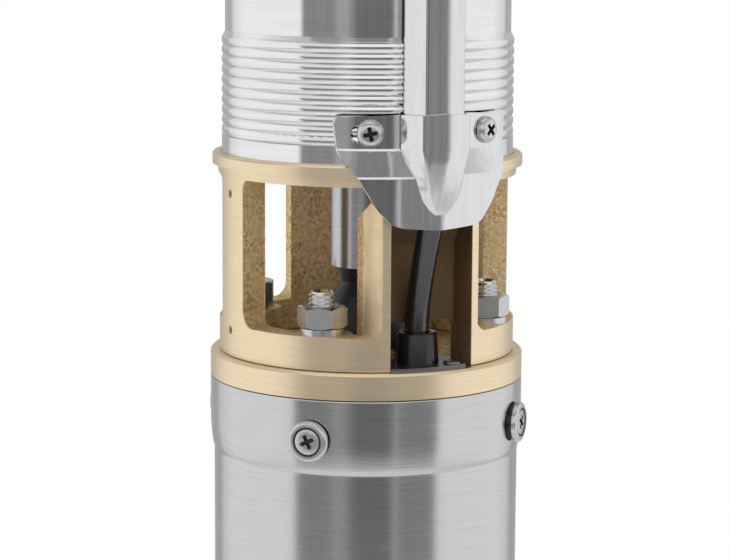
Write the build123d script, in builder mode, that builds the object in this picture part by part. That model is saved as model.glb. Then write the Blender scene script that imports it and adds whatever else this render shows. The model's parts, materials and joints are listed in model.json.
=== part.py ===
from build123d import *
import os
from math import asin, atan2, cos, degrees, hypot, pi, radians, sin, tan

os.makedirs("parts", exist_ok=True)

# Borehole submersible pump: a 96 mm motor below, a brass intake bracket in the middle and a
# multistage pump end above. Millimetres, Z up along the shaft, origin at the middle of the base.
# Azimuths are degrees about Z, counted from -Y towards +X.

# Clearances
press_gap = 0.02     # radial, pieces pressed together
seat_gap = 0.1       # radial, pieces slid together and then held
running_gap = 0.05   # radial, plain bearings
free_gap = 0.3       # pieces that pass each other without touching
root_depth = 0.5     # how far a fused form reaches into the wall that carries it
cutter_reach = 5.0   # how far a hole's cutter runs past a thin wall
long_cutter = 60.0   # length of a cutter that trims a whole piece

# Azimuths
stud_azimuths = [0, 90, 180, 270]
guard_azimuth = 45.0
back_pillar_azimuths = [135.0, 225.0]
left_pillar_azimuth = -45.0

# Motor: outside
motor_height = 300.0         # base to the top edge of the steel casing
motor_tube_radius = 46.9
bell_rise = 1.1              # how far the bell stands out round the tube
motor_wall = 1.2
bell_length = 20.0
bell_taper_length = 11.0
base_height = 16.0
base_chamfer = 1.5

# Motor head: the brass ring and the spigot inside the casing
ring_height = 8.0
ring_chamfer = 0.7
head_spigot_depth = 26.0
head_taper_below = 4.0       # ends of the spigot's taper about the casing's bell
head_taper_above = 1.5
head_web = 10.0              # ceiling of the wiring space below the casing's top
upper_bearing_step = 3.0
head_lip = 1.0               # step under the upper bearing's bore
head_spigot_inner_radius = 38.0
head_hub_radius = 25.0
pilot_radius = 22.0
pilot_height = 1.5
shaft_projection = 38.1      # shaft end above the mounting face

# Shaft seal
seal_seat_radius = 13.0
seal_seat_bore_radius = 7.6
seal_seat_height = 5.0
seal_chamber_radius = 11.5
seal_head_radius = 10.5
seal_head_collar = (6.0, 2.0)  # ends of its widest part, below the running face
seal_head_step = 1.0
seal_face_step = 1.5

# Mounting studs on the standard 3 inch circle
stud_circle_radius = 38.1
stud_radius = 4.0
stud_depth = 14.0
stud_above_seat = 12.8
stud_tip_chamfer = 0.6
nut_across_flats = 13.0
nut_height = 6.5
washer_outer_radius = 6.7
washer_thickness = 2.0
washer_split = 1.0
washer_split_turn = 40.0     # where the split lies, round the stud

# Casing screws with cup washers
casing_screw_drop = 12.2     # below the casing's top edge
casing_screw_shank_radius = 2.1
casing_screw_head_radius = 4.0
casing_screw_length = 9.0
cup_outer_radius = 6.15
cup_height = 1.6
cup_floor = 0.2
cup_lip = 0.4                # flat rim of the cup round the screw's head
seal_ring_outer_radius = 5.6
seal_ring_height = 0.8

# Motor inside
shaft_radius = 12.0
journal_radius = 8.5
seal_shaft_radius = 7.0
stator_bore_radius = 27.0
stator_bottom = 95.0
stator_length = 130.0
slot_count = 24
slot_depth = 11.0
slot_width = 3.4
slot_opening = 1.4
slot_lip = 1.2               # iron between a slot and the bore
overhang_length = 20.0
air_gap = 0.4
cage_bar_count = 20
cage_bar_radius = 2.0
cage_ring_height = 9.0
cage_ring_inside = 2.0       # end rings past the bars, inward and outward
cage_ring_outside = 0.5
cage_cover = 1.0             # iron over the bars
bearing_outer_radius = 20.0
bearing_width = 12.0
ball_count = 8
ball_radius = 3.375
ball_pitch_radius = 14.25
ball_groove_radius = 3.5
ring_land = 2.35             # half of the open height between the bearing's rings
cage_height = 9.0
cage_thickness = 1.2
lower_bearing_bottom = 40.0
housing_top = 62.0
housing_bottom_web = 44.0
diaphragm_thickness = 2.0
diaphragm_inset = 6.9        # from the motor tube's inside to the diaphragm's rim
diaphragm_rim_width = 8.8
diaphragm_rise = 10.0
base_screw_inset = 4.1       # from the casing's inner face in to the screws
base_screw_radius = 2.0
base_screw_head_radius = 3.5
base_screw_head_height = 4.0
base_screw_length = 26.0
breather_radius = 2.5
breather_circle_radius = 20.0

# Sand slinger on the shaft
slinger_foot_radius = 17.0
slinger_waist_radius = 10.6
slinger_neck_radius = 7.9
slinger_rim_height = 2.5     # straight rim of the foot
slinger_waist_drop = 8.0     # waist and neck below its top
slinger_neck_drop = 4.0
slinger_lip = 0.6
slinger_hollow = 2.0         # undercut of the foot

# Cable gland and plate
gland_radius_out = 35.0      # distance of the gland's middle from the axis
gland_top_radius = 6.1
gland_foot_radius = 6.7
gland_height = 10.2
gland_stem_radius = 5.0
gland_stem_depth = 9.0
plate_thickness = 1.0
plate_half_width = 12.2
plate_inner = 28.0
plate_edge_gap = 3.0         # from its outer edge to the motor head's
plate_screw_across = 8.6
plate_screw_out = 41.5
plate_screw_radius = 1.5
plate_screw_head_radius = 2.6
plate_screw_head_height = 1.0
plate_screw_depth = 4.5

# Intake bracket
bracket_step = 2.8           # from the motor head's edge in to the bracket
bracket_cavity_radius = 37.5
stud_boss_radius = 9.0
rail_height = 10.0
window_height = 44.3
window_top_corner = 3.5
window_bottom_corner = 6.0
pillar_angle = 20.6
neck_step = 0.6              # how far the neck under the flange stands out
neck_height = 4.0
flange_overhang = 2.1
flange_thickness = 3.4
flange_chamfer = 0.5
bracket_height = 60.6
spigot_height = 34.5
spigot_radius = 42.8
recess_shift = 0.9           # middle of the recess beside the guard's middle
recess_half_width = 13.4
recess_walls = [(28.0, 17.6), (37.0, 16.9)]  # distance out, outside half-width
recess_wall_end = 15.2       # outside half-width at the bracket's edge
recess_back = 31.0
recess_back_wall = 1.9
recess_gap_height = 12.3     # opening under the recess's back wall
recess_gap_corner = 2.5
recess_inside_roof = [(44.0, 0.0), (51.5, 11.1)]
recess_roof_low = 36.0
recess_roof_high = 51.5
recess_mouth = 42.2
notch_half_width = 8.5
notch_floor = 43.2
strainer_hole_radius = 1.3
strainer_hole_depth = 5.0
strainer_hole_heights = [8.0, 49.3]

# Pump casing
casing_radius = 43.35
casing_wall = 1.0
bead_crest_radius = 44.4
bead_valley_radius = 43.9
bead_pitch = 3.02
bead_count = 10
plain_band = 5.3
bead_fade = 1.2

# Stages
stage_count = 5
stage_pitch = 24.0
suction_plate_thickness = 3.0
bowl_wall = 1.6
deck_thickness = 3.0
neck_ring_thickness = 2.7
eye_radius = 15.0
impeller_neck_radius = 16.8
impeller_neck_length = 2.6
impeller_radius = 33.0
shroud_thickness = 1.5
vane_height = 4.5
impeller_clearance = 1.0
hub_radius = 9.0
vane_count = 6
vane_thickness = 1.4
vane_early_share = 0.6       # share of its turn that a vane makes by its middle
diffuser_radius = 36.0
diffuser_clearance = 1.5
guide_vane_count = 7
guide_vane_inner = 21.0
guide_vane_sweep = 40.0
impeller_vane_inner = 11.0
impeller_vane_sweep = -55.0
guide_vane_thickness = 1.6
hex_across_flats = 11.0

# Coupling
coupling_radius = 11.0
coupling_length = 52.0
coupling_above_face = 25.0
coupling_chamfer = 0.5
spline_count = 14
spline_root_radius = 6.4
spline_tip_radius = 6.9
spline_tooth_width = 1.5
spline_bore_length = 18.0
pin_radius = 1.5
pin_above_face = 68.0
pin_inset = 0.2              # pin's ends below the coupling's surface

# Pump bearing
spider_height = 16.0
spider_rim = 2.6
spider_eye_radius = 30.0     # open middle of the last bowl, under the spider
spider_rib_count = 5
spider_rib_thickness = 4.0
bush_thickness = 4.0
spider_hub_wall = 4.0
sleeve_length = 17.5
shaft_nut_height = 6.0
shaft_nut_across_flats = 17.0
shaft_end_stub = 1.5
shaft_shoulder_radius = 8.0
shaft_shoulder_height = 6.0
shaft_thread_radius = 5.0

# Discharge head, female G 1 1/4 thread
thread_minor_radius = 19.476
thread_length = 22.0
head_bore_radius = 19.0
head_neck_radius = 29.0
head_rim_radius = 46.8
head_rim_height = 7.0
head_neck_height = 26.0
head_neck_flare = 1.5        # the collar starts with this slope above the neck
head_collar_height = 24.0
head_collar_radius = 30.5
collar_across_flats = 56.0
chamber_radius = 37.6
chamber_top_drop = 2.0       # ceiling of the valve chamber below the casing's top edge
head_screw_floor = 1.8       # wall between the chamber and the upper guard screws
rope_eye_radius = 4.5
rope_eye_out = 36.5
rope_eye_lug_radius = 8.5
rope_eye_thickness = 8.0

# Check valve
valve_seat_above_spigot = 4.0
valve_seat_height = 6.0
valve_seat_bore_radius = 24.0
poppet_radius = 27.5
poppet_disc_height = 4.0
stem_radius = 4.0
valve_cage_wall = 2.0
valve_cage_rib_width = 4.0
valve_cage_rib_height = 4.0
valve_cage_hub_height = 14.0
valve_cage_hub_radius = 8.0
spring_wire_radius = 0.6
spring_coil_radius = 5.6
spring_turns = 4
valve_cage_rib_count = 4
stem_length = 26.0

# Cable guard
guard_wall = 0.8
guard_gap = 0.25             # guard, foot and clip above the beads
guard_base_half_width = 9.2
guard_top_half_width = 6.1
guard_crown = 53.1           # outer face of the guard's crown from the axis
guard_corner = 1.6
corner_limit = 0.8           # largest corner radius over the channel's half-width
guard_bottom = 75.0          # heights of guard and foot count from the motor casing's top edge
guard_end_drop = 27.0        # guard's upper end below the pump casing's top edge
foot_thickness = 0.9
foot_top = 84.0
foot_upper_bend = 73.2
foot_lower_bend = 65.6
foot_bottom = 50.0
foot_clearance = 1.6         # from the bracket's flange out to the foot
foot_bend_radius = 2.0
foot_outline = [(27.8, 82.5), (26.6, 71.5), (19.0, 57.6), (14.6, 52.0), (11.0, 50.9)]
foot_outline_corners = [2.0, 6.0, 5.0, 3.0, 1.0]
ridge_top_share = 0.70       # crown's half-width over the half-width at the plate
upper_ridge_sections = [     # height, half-width at the plate, crown above the plate's upper end
    (86.0, 10.6, 8.65),
    (74.0, 10.6, 8.65),
    (70.0, 9.4, 8.35),
]
lower_ridge_sections = [     # height, half-width at the plate, crown above the plate's lower end
    (66.0, 7.9, 3.4),
    (62.0, 6.8, 2.6),
    (58.5, 5.4, 1.7),
    (56.0, 3.4, 1.0),
    (54.6, 1.8, 0.5),
]
ridge_round = 1.2
ridge_nose = 0.4             # how much sooner the ridge's hollow ends
guard_screw_height = 78.0
guard_screw_angle = 24.0
guard_screw_radius = 2.0
guard_screw_length = 5.5
guard_screw_head_radius = 4.0
guard_screw_head_height = 2.4
guard_screw_crown_taper = 40.0
guard_slot_width = 4.5
guard_slot_length = 8.0
clip_height = 16.0
clip_screw_drop = 29.5       # upper guard screws below the pump casing's top edge

# Lead
lead_radius = 3.6
coil_columns = 2
coil_layers = 3
coil_mean_radius = 41.3
coil_corner_radius = 3.4
tie_width = 3.6
tie_thickness = 1.2
tie_azimuths = [170.0, 350.0]
lead_rise = [                # sideways, distance out, height above the motor casing
    (0.0, 35.0, 10.2),
    (0.0, 35.0, 18.9),
    (0.0, 35.9, 26.5),
    (0.1, 39.9, 41.0),
    (0.0, 44.9, 53.5),
    (0.0, 48.5, 67.5),
    (0.1, 48.45, 92.0),
    (-0.15, 48.45, 136.0),
    (0.15, 48.4, 184.0),
    (-0.1, 48.35, 222.0),
]
lead_turn = [                # distance round the guard's line, distance out, height above the rim
    (0.0, 48.45, -29.2),
    (7.4, 53.0, -6.5),
    (24.8, 53.5, 10.1),
    (46.0, 51.1, 19.0),
    (69.1, 48.0, 19.4),
    (97.0, 44.7, 19.1),
]
core_count = 4
core_radius = 1.3
core_length = 34.0
core_azimuth = 300.0

# Heights that follow
face = motor_height + ring_height                # mounting face of the motor
seat = face + rail_height                        # seat of the nuts
flange_top = face + bracket_height
bead_bottom = flange_top + plain_band
spigot_top = flange_top + spigot_height
stages_bottom = spigot_top + suction_plate_thickness
stages_top = stages_bottom + stage_count * stage_pitch
spider_top = stages_top + spider_height
casing_top = spider_top + spigot_height
rim_top = casing_top + head_rim_height
neck_top = rim_top + head_neck_height
head_top = neck_top + head_collar_height
casing_inner_radius = casing_radius - casing_wall
bead_length = bead_count * bead_pitch
bowl_radius = casing_inner_radius - seat_gap
upper_bearing_bottom = motor_height - head_spigot_depth + upper_bearing_step
motor_bell_radius = motor_tube_radius + bell_rise
bell_inner_radius = motor_bell_radius - motor_wall
tube_inner_radius = motor_tube_radius - motor_wall
plate_outer_radius = motor_bell_radius - plate_edge_gap
base_screw_circle_radius = tube_inner_radius - base_screw_inset
diaphragm_rim_radius = tube_inner_radius - diaphragm_inset
diaphragm_cup_radius = diaphragm_rim_radius - diaphragm_rim_width
bracket_radius = motor_bell_radius - bracket_step
neck_radius = bracket_radius + neck_step
flange_radius = bracket_radius + flange_overhang
foot_lower_radius = flange_radius + foot_clearance
recess_outside = [*recess_walls, (bracket_radius, recess_wall_end)]


def outward_plane(azimuth, distance=0.0, height=0.0):
    """Plane that faces outward at this azimuth: X runs round the object, Y runs up."""
    a = radians(azimuth)
    return Plane(
        origin=(distance * sin(a), -distance * cos(a), height),
        x_dir=(cos(a), sin(a), 0),
        z_dir=(sin(a), -cos(a), 0),
    )


def half_plane(azimuth):
    """Plane through the axis: X is the distance from the axis at this azimuth, Y is the height."""
    a = radians(azimuth)
    return Plane(origin=(0, 0, 0), x_dir=(sin(a), -cos(a), 0), z_dir=(-cos(a), -sin(a), 0))


def plan_plane(azimuth, height):
    """Level plane: X is the distance from the axis at this azimuth, Y runs sideways from it."""
    a = radians(azimuth)
    return Plane(origin=(0, 0, height), x_dir=(sin(a), -cos(a), 0), z_dir=(0, 0, 1))


def polar(radius, azimuth, height=0.0):
    """Point at a radius, azimuth and height."""
    a = radians(azimuth)
    return (radius * sin(a), -radius * cos(a), height)


def turned(points, mode=Mode.ADD):
    """Solid of revolution about the axis from an outline of (radius, height) points."""
    with BuildSketch(Plane.XZ) as outline:
        with BuildLine():
            Polyline(*points, close=True)
        make_face()
    revolve(outline.sketch, axis=Axis.Z, mode=mode)


def ring(inner, outer, bottom, top, mode=Mode.ADD):
    """Plain ring about the axis."""
    turned([(inner, bottom), (outer, bottom), (outer, top), (inner, top)], mode=mode)


def disc(radius, bottom, top, mode=Mode.ADD):
    """Plain disc about the axis."""
    with BuildSketch(Plane.XY.offset(bottom)) as outline:
        Circle(radius)
    extrude(outline.sketch, amount=top - bottom, mode=mode)


def bar(plane, points, half_width, mode=Mode.ADD):
    """Prism from an outline on a plane, as far to both sides of it."""
    with BuildSketch(plane) as outline:
        with BuildLine():
            Polyline(*points, close=True)
        make_face()
    extrude(outline.sketch, amount=half_width, both=True, mode=mode)


def radial_holes(azimuths, height, radius, start, length, mode=Mode.SUBTRACT):
    """Round holes, or pins, that run outward from a start radius at each azimuth."""
    for azimuth in azimuths:
        with BuildSketch(outward_plane(azimuth, start, height)) as outline:
            Circle(radius)
        extrude(outline.sketch, amount=length, mode=mode)


def axial_holes(azimuths, circle_radius, radius, bottom, top, mode=Mode.SUBTRACT):
    """Round holes, or pins, along Z on a circle about the axis."""
    with BuildSketch(Plane.XY.offset(bottom)) as outline:
        for azimuth in azimuths:
            with Locations(polar(circle_radius, azimuth)[:2]):
                Circle(radius)
    extrude(outline.sketch, amount=top - bottom, mode=mode)


def save(piece, node):
    """Label a finished piece and write its file."""
    piece.label = node
    export_step(piece, f"parts/{node}.step")


# Motor casing: a tube that is belled out round the head's spigot, with four screw holes.
with BuildPart() as motor_casing:
    bell_bottom = motor_height - bell_length
    taper_bottom = bell_bottom - bell_taper_length
    turned([
        (tube_inner_radius, base_height),
        (motor_tube_radius, base_height),
        (motor_tube_radius, taper_bottom),
        (motor_bell_radius, bell_bottom),
        (motor_bell_radius, motor_height),
        (bell_inner_radius, motor_height),
        (bell_inner_radius, bell_bottom),
        (tube_inner_radius, taper_bottom),
    ])
    screw_height = motor_height - casing_screw_drop
    radial_holes(stud_azimuths, screw_height, casing_screw_shank_radius + seat_gap,
                 tube_inner_radius, motor_bell_radius - tube_inner_radius + cutter_reach)
save(motor_casing.part, "motor_casing")

# Motor head: the ring seen from outside, its spigot, the upper bearing's seat and the seal chamber.
spigot_bottom = motor_height - head_spigot_depth
upper_bearing_top = upper_bearing_bottom + bearing_width
seal_seat_bottom = face + pilot_height - seal_seat_height - 1.0
wiring_ceiling = motor_height - head_web
with BuildPart() as motor_head:
    bell_bottom = motor_height - bell_length
    turned([
        (seal_chamber_radius, upper_bearing_top),
        (bearing_outer_radius + press_gap, upper_bearing_top),
        (bearing_outer_radius + press_gap, spigot_bottom + head_lip),
        (head_hub_radius, spigot_bottom + head_lip),
        (head_hub_radius, wiring_ceiling),
        (head_spigot_inner_radius, wiring_ceiling),
        (head_spigot_inner_radius, spigot_bottom),
        (tube_inner_radius - seat_gap, spigot_bottom),
        (tube_inner_radius - seat_gap, bell_bottom - head_taper_below),
        (bell_inner_radius - seat_gap, bell_bottom + head_taper_above),
        (bell_inner_radius - seat_gap, motor_height),
        (motor_bell_radius, motor_height),
        (motor_bell_radius, face - ring_chamfer),
        (motor_bell_radius - ring_chamfer, face),
        (pilot_radius, face),
        (pilot_radius, face + pilot_height),
        (seal_seat_radius + press_gap, face + pilot_height),
        (seal_seat_radius + press_gap, seal_seat_bottom),
        (seal_chamber_radius, seal_seat_bottom),
    ])
    axial_holes(stud_azimuths, stud_circle_radius, stud_radius + press_gap, face - stud_depth, face)
    radial_holes(stud_azimuths, screw_height, casing_screw_shank_radius + press_gap,
                 head_spigot_inner_radius - cutter_reach, 6 * cutter_reach)
    axial_holes([guard_azimuth], gland_radius_out, gland_stem_radius + press_gap,
                wiring_ceiling - 1, face)
    plate_screw_azimuth = guard_azimuth + degrees(atan2(plate_screw_across, plate_screw_out))
    plate_screw_circle = hypot(plate_screw_across, plate_screw_out)
    axial_holes([plate_screw_azimuth], plate_screw_circle, plate_screw_radius + press_gap,
                face - plate_screw_depth - 1, face)
save(motor_head.part, "motor_head")

# Studs, nuts and split spring washers that clamp the bracket on the motor.
with BuildPart() as motor_studs:
    stud_top = seat + stud_above_seat
    axial_holes(stud_azimuths, stud_circle_radius, stud_radius, face - stud_depth,
                stud_top, mode=Mode.ADD)
    chamfer(motor_studs.edges().filter_by(GeomType.CIRCLE).group_by(Axis.Z)[-1], stud_tip_chamfer)
save(motor_studs.part, "motor_studs")

nut_bottom = seat + washer_thickness
with BuildPart() as stud_nuts:
    with BuildSketch(Plane.XY.offset(nut_bottom)):
        for azimuth in stud_azimuths:
            with Locations(polar(stud_circle_radius, azimuth)[:2]):
                RegularPolygon(nut_across_flats / 2, 6, major_radius=False, rotation=azimuth)
                Circle(stud_radius + seat_gap, mode=Mode.SUBTRACT)
    extrude(amount=nut_height)
save(stud_nuts.part, "stud_nuts")

with BuildPart() as stud_spring_washers:
    with BuildSketch(Plane.XY.offset(seat)):
        for azimuth in stud_azimuths:
            split_turn = (0, 0, azimuth + washer_split_turn)
            with Locations(Location(polar(stud_circle_radius, azimuth), split_turn)):
                Circle(washer_outer_radius)
                Circle(stud_radius + seat_gap, mode=Mode.SUBTRACT)
                Rectangle(2 * washer_outer_radius, washer_split,
                          align=(Align.MIN, Align.CENTER), mode=Mode.SUBTRACT)
    extrude(amount=washer_thickness)
save(stud_spring_washers.part, "stud_spring_washers")

# Casing screws: countersunk heads in finishing cup washers on a sealing ring.
seal_ring_face = motor_bell_radius + seal_ring_height
with BuildPart() as head_screw_seals:
    radial_holes(stud_azimuths, screw_height, seal_ring_outer_radius,
                 motor_bell_radius - 1, 1 + seal_ring_height, mode=Mode.ADD)
    radial_holes(stud_azimuths, screw_height, casing_screw_shank_radius + 2 * seat_gap,
                 motor_bell_radius - 2, 5)
    disc(motor_bell_radius + press_gap, screw_height - seal_ring_outer_radius - 1,
         screw_height + seal_ring_outer_radius + 1, mode=Mode.SUBTRACT)
save(head_screw_seals.part, "head_screw_seals")

cup_flat_radius = casing_screw_head_radius + cup_lip
with BuildPart() as head_screw_cups:
    for azimuth in stud_azimuths:
        plane = outward_plane(azimuth, 0, screw_height)
        with BuildSketch(half_plane(azimuth)) as cup_outline:
            with BuildLine():
                Polyline(
                    (seal_ring_face, screw_height + casing_screw_shank_radius + seat_gap),
                    (seal_ring_face, screw_height + cup_outer_radius),
                    (seal_ring_face + cup_height / 2, screw_height + cup_outer_radius),
                    (seal_ring_face + cup_height, screw_height + cup_flat_radius),
                    (seal_ring_face + cup_height,
                     screw_height + casing_screw_head_radius + seat_gap),
                    (seal_ring_face + cup_floor, screw_height + casing_screw_shank_radius + seat_gap),
                    close=True,
                )
            make_face()
        revolve(cup_outline.sketch, axis=Axis(plane.origin, plane.z_dir))
save(head_screw_cups.part, "head_screw_cups")

with BuildPart() as head_screws:
    head_face = seal_ring_face + cup_height
    cone_bottom = seal_ring_face + cup_floor
    for azimuth in stud_azimuths:
        plane = outward_plane(azimuth, 0, screw_height)
        with BuildSketch(half_plane(azimuth)) as screw_outline:
            with BuildLine():
                Polyline(
                    (head_face - casing_screw_length, screw_height),
                    (head_face - casing_screw_length, screw_height + casing_screw_shank_radius),
                    (cone_bottom, screw_height + casing_screw_shank_radius),
                    (head_face, screw_height + casing_screw_head_radius),
                    (head_face, screw_height),
                    close=True,
                )
            make_face()
        revolve(screw_outline.sketch, axis=Axis(plane.origin, plane.z_dir))
save(head_screws.part, "head_screws")

# Stator core: lamination stack with slots that open at the bore.
stator_top = stator_bottom + stator_length
slot_outer_radius = stator_bore_radius + slot_lip + slot_depth
with BuildPart() as stator_core:
    with BuildSketch(Plane.XY.offset(stator_bottom)) as stack:
        Circle(tube_inner_radius - press_gap)
        Circle(stator_bore_radius, mode=Mode.SUBTRACT)
        with PolarLocations(0, slot_count):
            with Locations((slot_outer_radius - slot_depth / 2, 0)):
                Rectangle(slot_depth, slot_width, mode=Mode.SUBTRACT)
            with Locations((stator_bore_radius + slot_lip / 2, 0)):
                Rectangle(2 * slot_lip, slot_opening, mode=Mode.SUBTRACT)
    extrude(amount=stator_length)
save(stator_core.part, "stator_core")

# Windings: a bar in each slot, joined by the overhangs at both ends of the stack.
with BuildPart() as stator_windings:
    bar_bottom = stator_bottom - overhang_length / 2
    with BuildSketch(Plane.XY.offset(bar_bottom)) as slot_bars:
        with PolarLocations(slot_outer_radius - slot_depth / 2, slot_count):
            Rectangle(slot_depth - 2 * seat_gap, slot_width - 2 * seat_gap)
    extrude(amount=stator_length + overhang_length)
    overhang_inner = slot_outer_radius - slot_depth + seat_gap
    overhang_outer = slot_outer_radius - seat_gap
    ring(overhang_inner, overhang_outer, stator_bottom - overhang_length, stator_bottom - 2)
    ring(overhang_inner, overhang_outer, stator_top + 2, stator_top + overhang_length)
save(stator_windings.part, "stator_windings")

# Rotor core and its cast cage.
rotor_radius = stator_bore_radius - air_gap
cage_circle_radius = rotor_radius - cage_bar_radius - cage_cover
with BuildPart() as rotor_core:
    with BuildSketch(Plane.XY.offset(stator_bottom)):
        Circle(rotor_radius)
        Circle(shaft_radius + press_gap, mode=Mode.SUBTRACT)
        with PolarLocations(cage_circle_radius, cage_bar_count):
            Circle(cage_bar_radius, mode=Mode.SUBTRACT)
    extrude(amount=stator_length)
save(rotor_core.part, "rotor_core")

with BuildPart() as rotor_cage:
    with BuildSketch(Plane.XY.offset(stator_bottom)):
        with PolarLocations(cage_circle_radius, cage_bar_count):
            Circle(cage_bar_radius - press_gap)
    extrude(amount=stator_length)
    cage_inner = cage_circle_radius - cage_bar_radius - cage_ring_inside
    cage_outer = cage_circle_radius + cage_bar_radius + cage_ring_outside
    ring(cage_inner, cage_outer, stator_bottom - cage_ring_height, stator_bottom)
    ring(cage_inner, cage_outer, stator_top, stator_top + cage_ring_height)
save(rotor_cage.part, "rotor_cage")

# Motor shaft with its journals and splined end.
lower_bearing_top = lower_bearing_bottom + bearing_width
shaft_top = face + shaft_projection
spline_bottom = face + coupling_above_face - 2.0
with BuildPart() as motor_shaft:
    turned([
        (0, lower_bearing_bottom - 2),
        (journal_radius - press_gap, lower_bearing_bottom - 2),
        (journal_radius - press_gap, lower_bearing_top),
        (shaft_radius, lower_bearing_top),
        (shaft_radius, upper_bearing_bottom),
        (journal_radius - press_gap, upper_bearing_bottom),
        (journal_radius - press_gap, upper_bearing_top),
        (seal_shaft_radius, upper_bearing_top),
        (seal_shaft_radius, spline_bottom),
        (spline_root_radius, spline_bottom),
        (spline_root_radius, shaft_top),
        (0, shaft_top),
    ])
    with BuildSketch(Plane.XY.offset(spline_bottom)):
        with PolarLocations(0, spline_count):
            with Locations((spline_root_radius - 1, 0)):
                Rectangle(spline_tip_radius - spline_root_radius + 1, spline_tooth_width,
                          align=(Align.MIN, Align.CENTER))
    extrude(amount=shaft_top - spline_bottom)
save(motor_shaft.part, "motor_shaft")


# Deep groove ball bearings: outer rings, inner rings, and for each bearing its balls in their cage.
def bearing_ring(inner, outer, bottom):
    """One ring of a ball bearing, without its groove."""
    ring(inner, outer, bottom, bottom + bearing_width)


def ball_groove(bottom):
    """Running groove of the balls, cut from the rings."""
    with BuildSketch(Plane.XZ) as groove:
        with Locations((ball_pitch_radius, bottom + bearing_width / 2)):
            Circle(ball_groove_radius)
    revolve(groove.sketch, axis=Axis.Z, mode=Mode.SUBTRACT)


bearing_bottoms = [lower_bearing_bottom, upper_bearing_bottom]
with BuildPart() as bearing_outer_rings:
    for bottom in bearing_bottoms:
        bearing_ring(ball_pitch_radius + ring_land, bearing_outer_radius, bottom)
        ball_groove(bottom)
save(bearing_outer_rings.part, "bearing_outer_rings")

with BuildPart() as bearing_inner_rings:
    for bottom in bearing_bottoms:
        bearing_ring(journal_radius, ball_pitch_radius - ring_land, bottom)
        ball_groove(bottom)
save(bearing_inner_rings.part, "bearing_inner_rings")

for name, bottom in zip(["lower_bearing_balls", "upper_bearing_balls"], bearing_bottoms):
    ball_height = bottom + bearing_width / 2
    with BuildPart() as ball_set:
        ring(ball_pitch_radius - cage_thickness / 2, ball_pitch_radius + cage_thickness / 2,
             ball_height - cage_height / 2, ball_height + cage_height / 2)
        radial_holes([360 * index / ball_count for index in range(ball_count)], ball_height,
                     ball_radius + seat_gap, ball_pitch_radius - 3, 6)
        with Locations((0, 0, ball_height)):
            with PolarLocations(ball_pitch_radius, ball_count):
                Sphere(ball_radius)
    save(ball_set.part, name)

# Lower bearing housing, pressed into the casing above the base.
skirt_inner_radius = diaphragm_rim_radius + seat_gap
clamp_height = base_height + diaphragm_thickness
with BuildPart() as lower_bearing_housing:
    turned([
        (tube_inner_radius - seat_gap, base_height),
        (tube_inner_radius - seat_gap, housing_top),
        (skirt_inner_radius, housing_top),
        (skirt_inner_radius, lower_bearing_top + 2),
        (bearing_outer_radius + press_gap, lower_bearing_top + 2),
        (bearing_outer_radius + press_gap, lower_bearing_bottom),
        (ball_pitch_radius, lower_bearing_bottom),
        (ball_pitch_radius, lower_bearing_bottom - 2),
        (bearing_outer_radius + 4, lower_bearing_bottom - 2),
        (bearing_outer_radius + 4, housing_bottom_web),
        (diaphragm_rim_radius - 4, housing_bottom_web),
        (diaphragm_rim_radius - 4, clamp_height),
        (skirt_inner_radius, clamp_height),
        (skirt_inner_radius, base_height),
    ])
    axial_holes(stud_azimuths, base_screw_circle_radius, base_screw_radius + press_gap,
                base_height, base_screw_length + 2)
save(lower_bearing_housing.part, "lower_bearing_housing")

# Pressure diaphragm: a rubber cup that lets the oil in the motor expand.
cup_top = clamp_height + diaphragm_rise
with BuildPart() as pressure_diaphragm:
    turned([
        (0, cup_top - diaphragm_thickness),
        (diaphragm_cup_radius - diaphragm_thickness, cup_top - diaphragm_thickness),
        (diaphragm_cup_radius - diaphragm_thickness, base_height),
        (diaphragm_rim_radius, base_height),
        (diaphragm_rim_radius, clamp_height),
        (diaphragm_cup_radius, clamp_height),
        (diaphragm_cup_radius, cup_top),
        (0, cup_top),
    ])
save(pressure_diaphragm.part, "pressure_diaphragm")

# Motor base with breather holes and sunk screws.
with BuildPart() as motor_base:
    disc(motor_tube_radius, 0, base_height)
    chamfer(motor_base.edges().filter_by(GeomType.CIRCLE).group_by(Axis.Z)[0], base_chamfer)
    axial_holes(back_pillar_azimuths + [guard_azimuth], breather_circle_radius, breather_radius,
                0, base_height)
    axial_holes(stud_azimuths, base_screw_circle_radius, base_screw_radius + seat_gap, 0, base_height)
    axial_holes(stud_azimuths, base_screw_circle_radius, base_screw_head_radius + seat_gap,
                0, base_screw_head_height + 1)
save(motor_base.part, "motor_base")

with BuildPart() as base_screws:
    axial_holes(stud_azimuths, base_screw_circle_radius, base_screw_head_radius, 1,
                1 + base_screw_head_height, mode=Mode.ADD)
    axial_holes(stud_azimuths, base_screw_circle_radius, base_screw_radius, 1,
                base_screw_length, mode=Mode.ADD)
save(base_screws.part, "base_screws")

# Shaft seal: a fixed seat in the head and the head that turns with the shaft below it.
with BuildPart() as shaft_seal_seat:
    ring(seal_seat_bore_radius, seal_seat_radius, seal_seat_bottom,
         seal_seat_bottom + seal_seat_height)
save(shaft_seal_seat.part, "shaft_seal_seat")

with BuildPart() as shaft_seal_head:
    seal_face = seal_seat_bottom - running_gap
    collar_low, collar_high = seal_head_collar
    turned([
        (seal_shaft_radius + press_gap, upper_bearing_top + 1),
        (seal_head_radius - seal_head_step, upper_bearing_top + 1),
        (seal_head_radius - seal_head_step, seal_face - collar_low),
        (seal_head_radius, seal_face - collar_low),
        (seal_head_radius, seal_face - collar_high),
        (seal_head_radius - seal_face_step, seal_face),
        (seal_shaft_radius + press_gap, seal_face),
    ])
save(shaft_seal_head.part, "shaft_seal_head")

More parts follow.
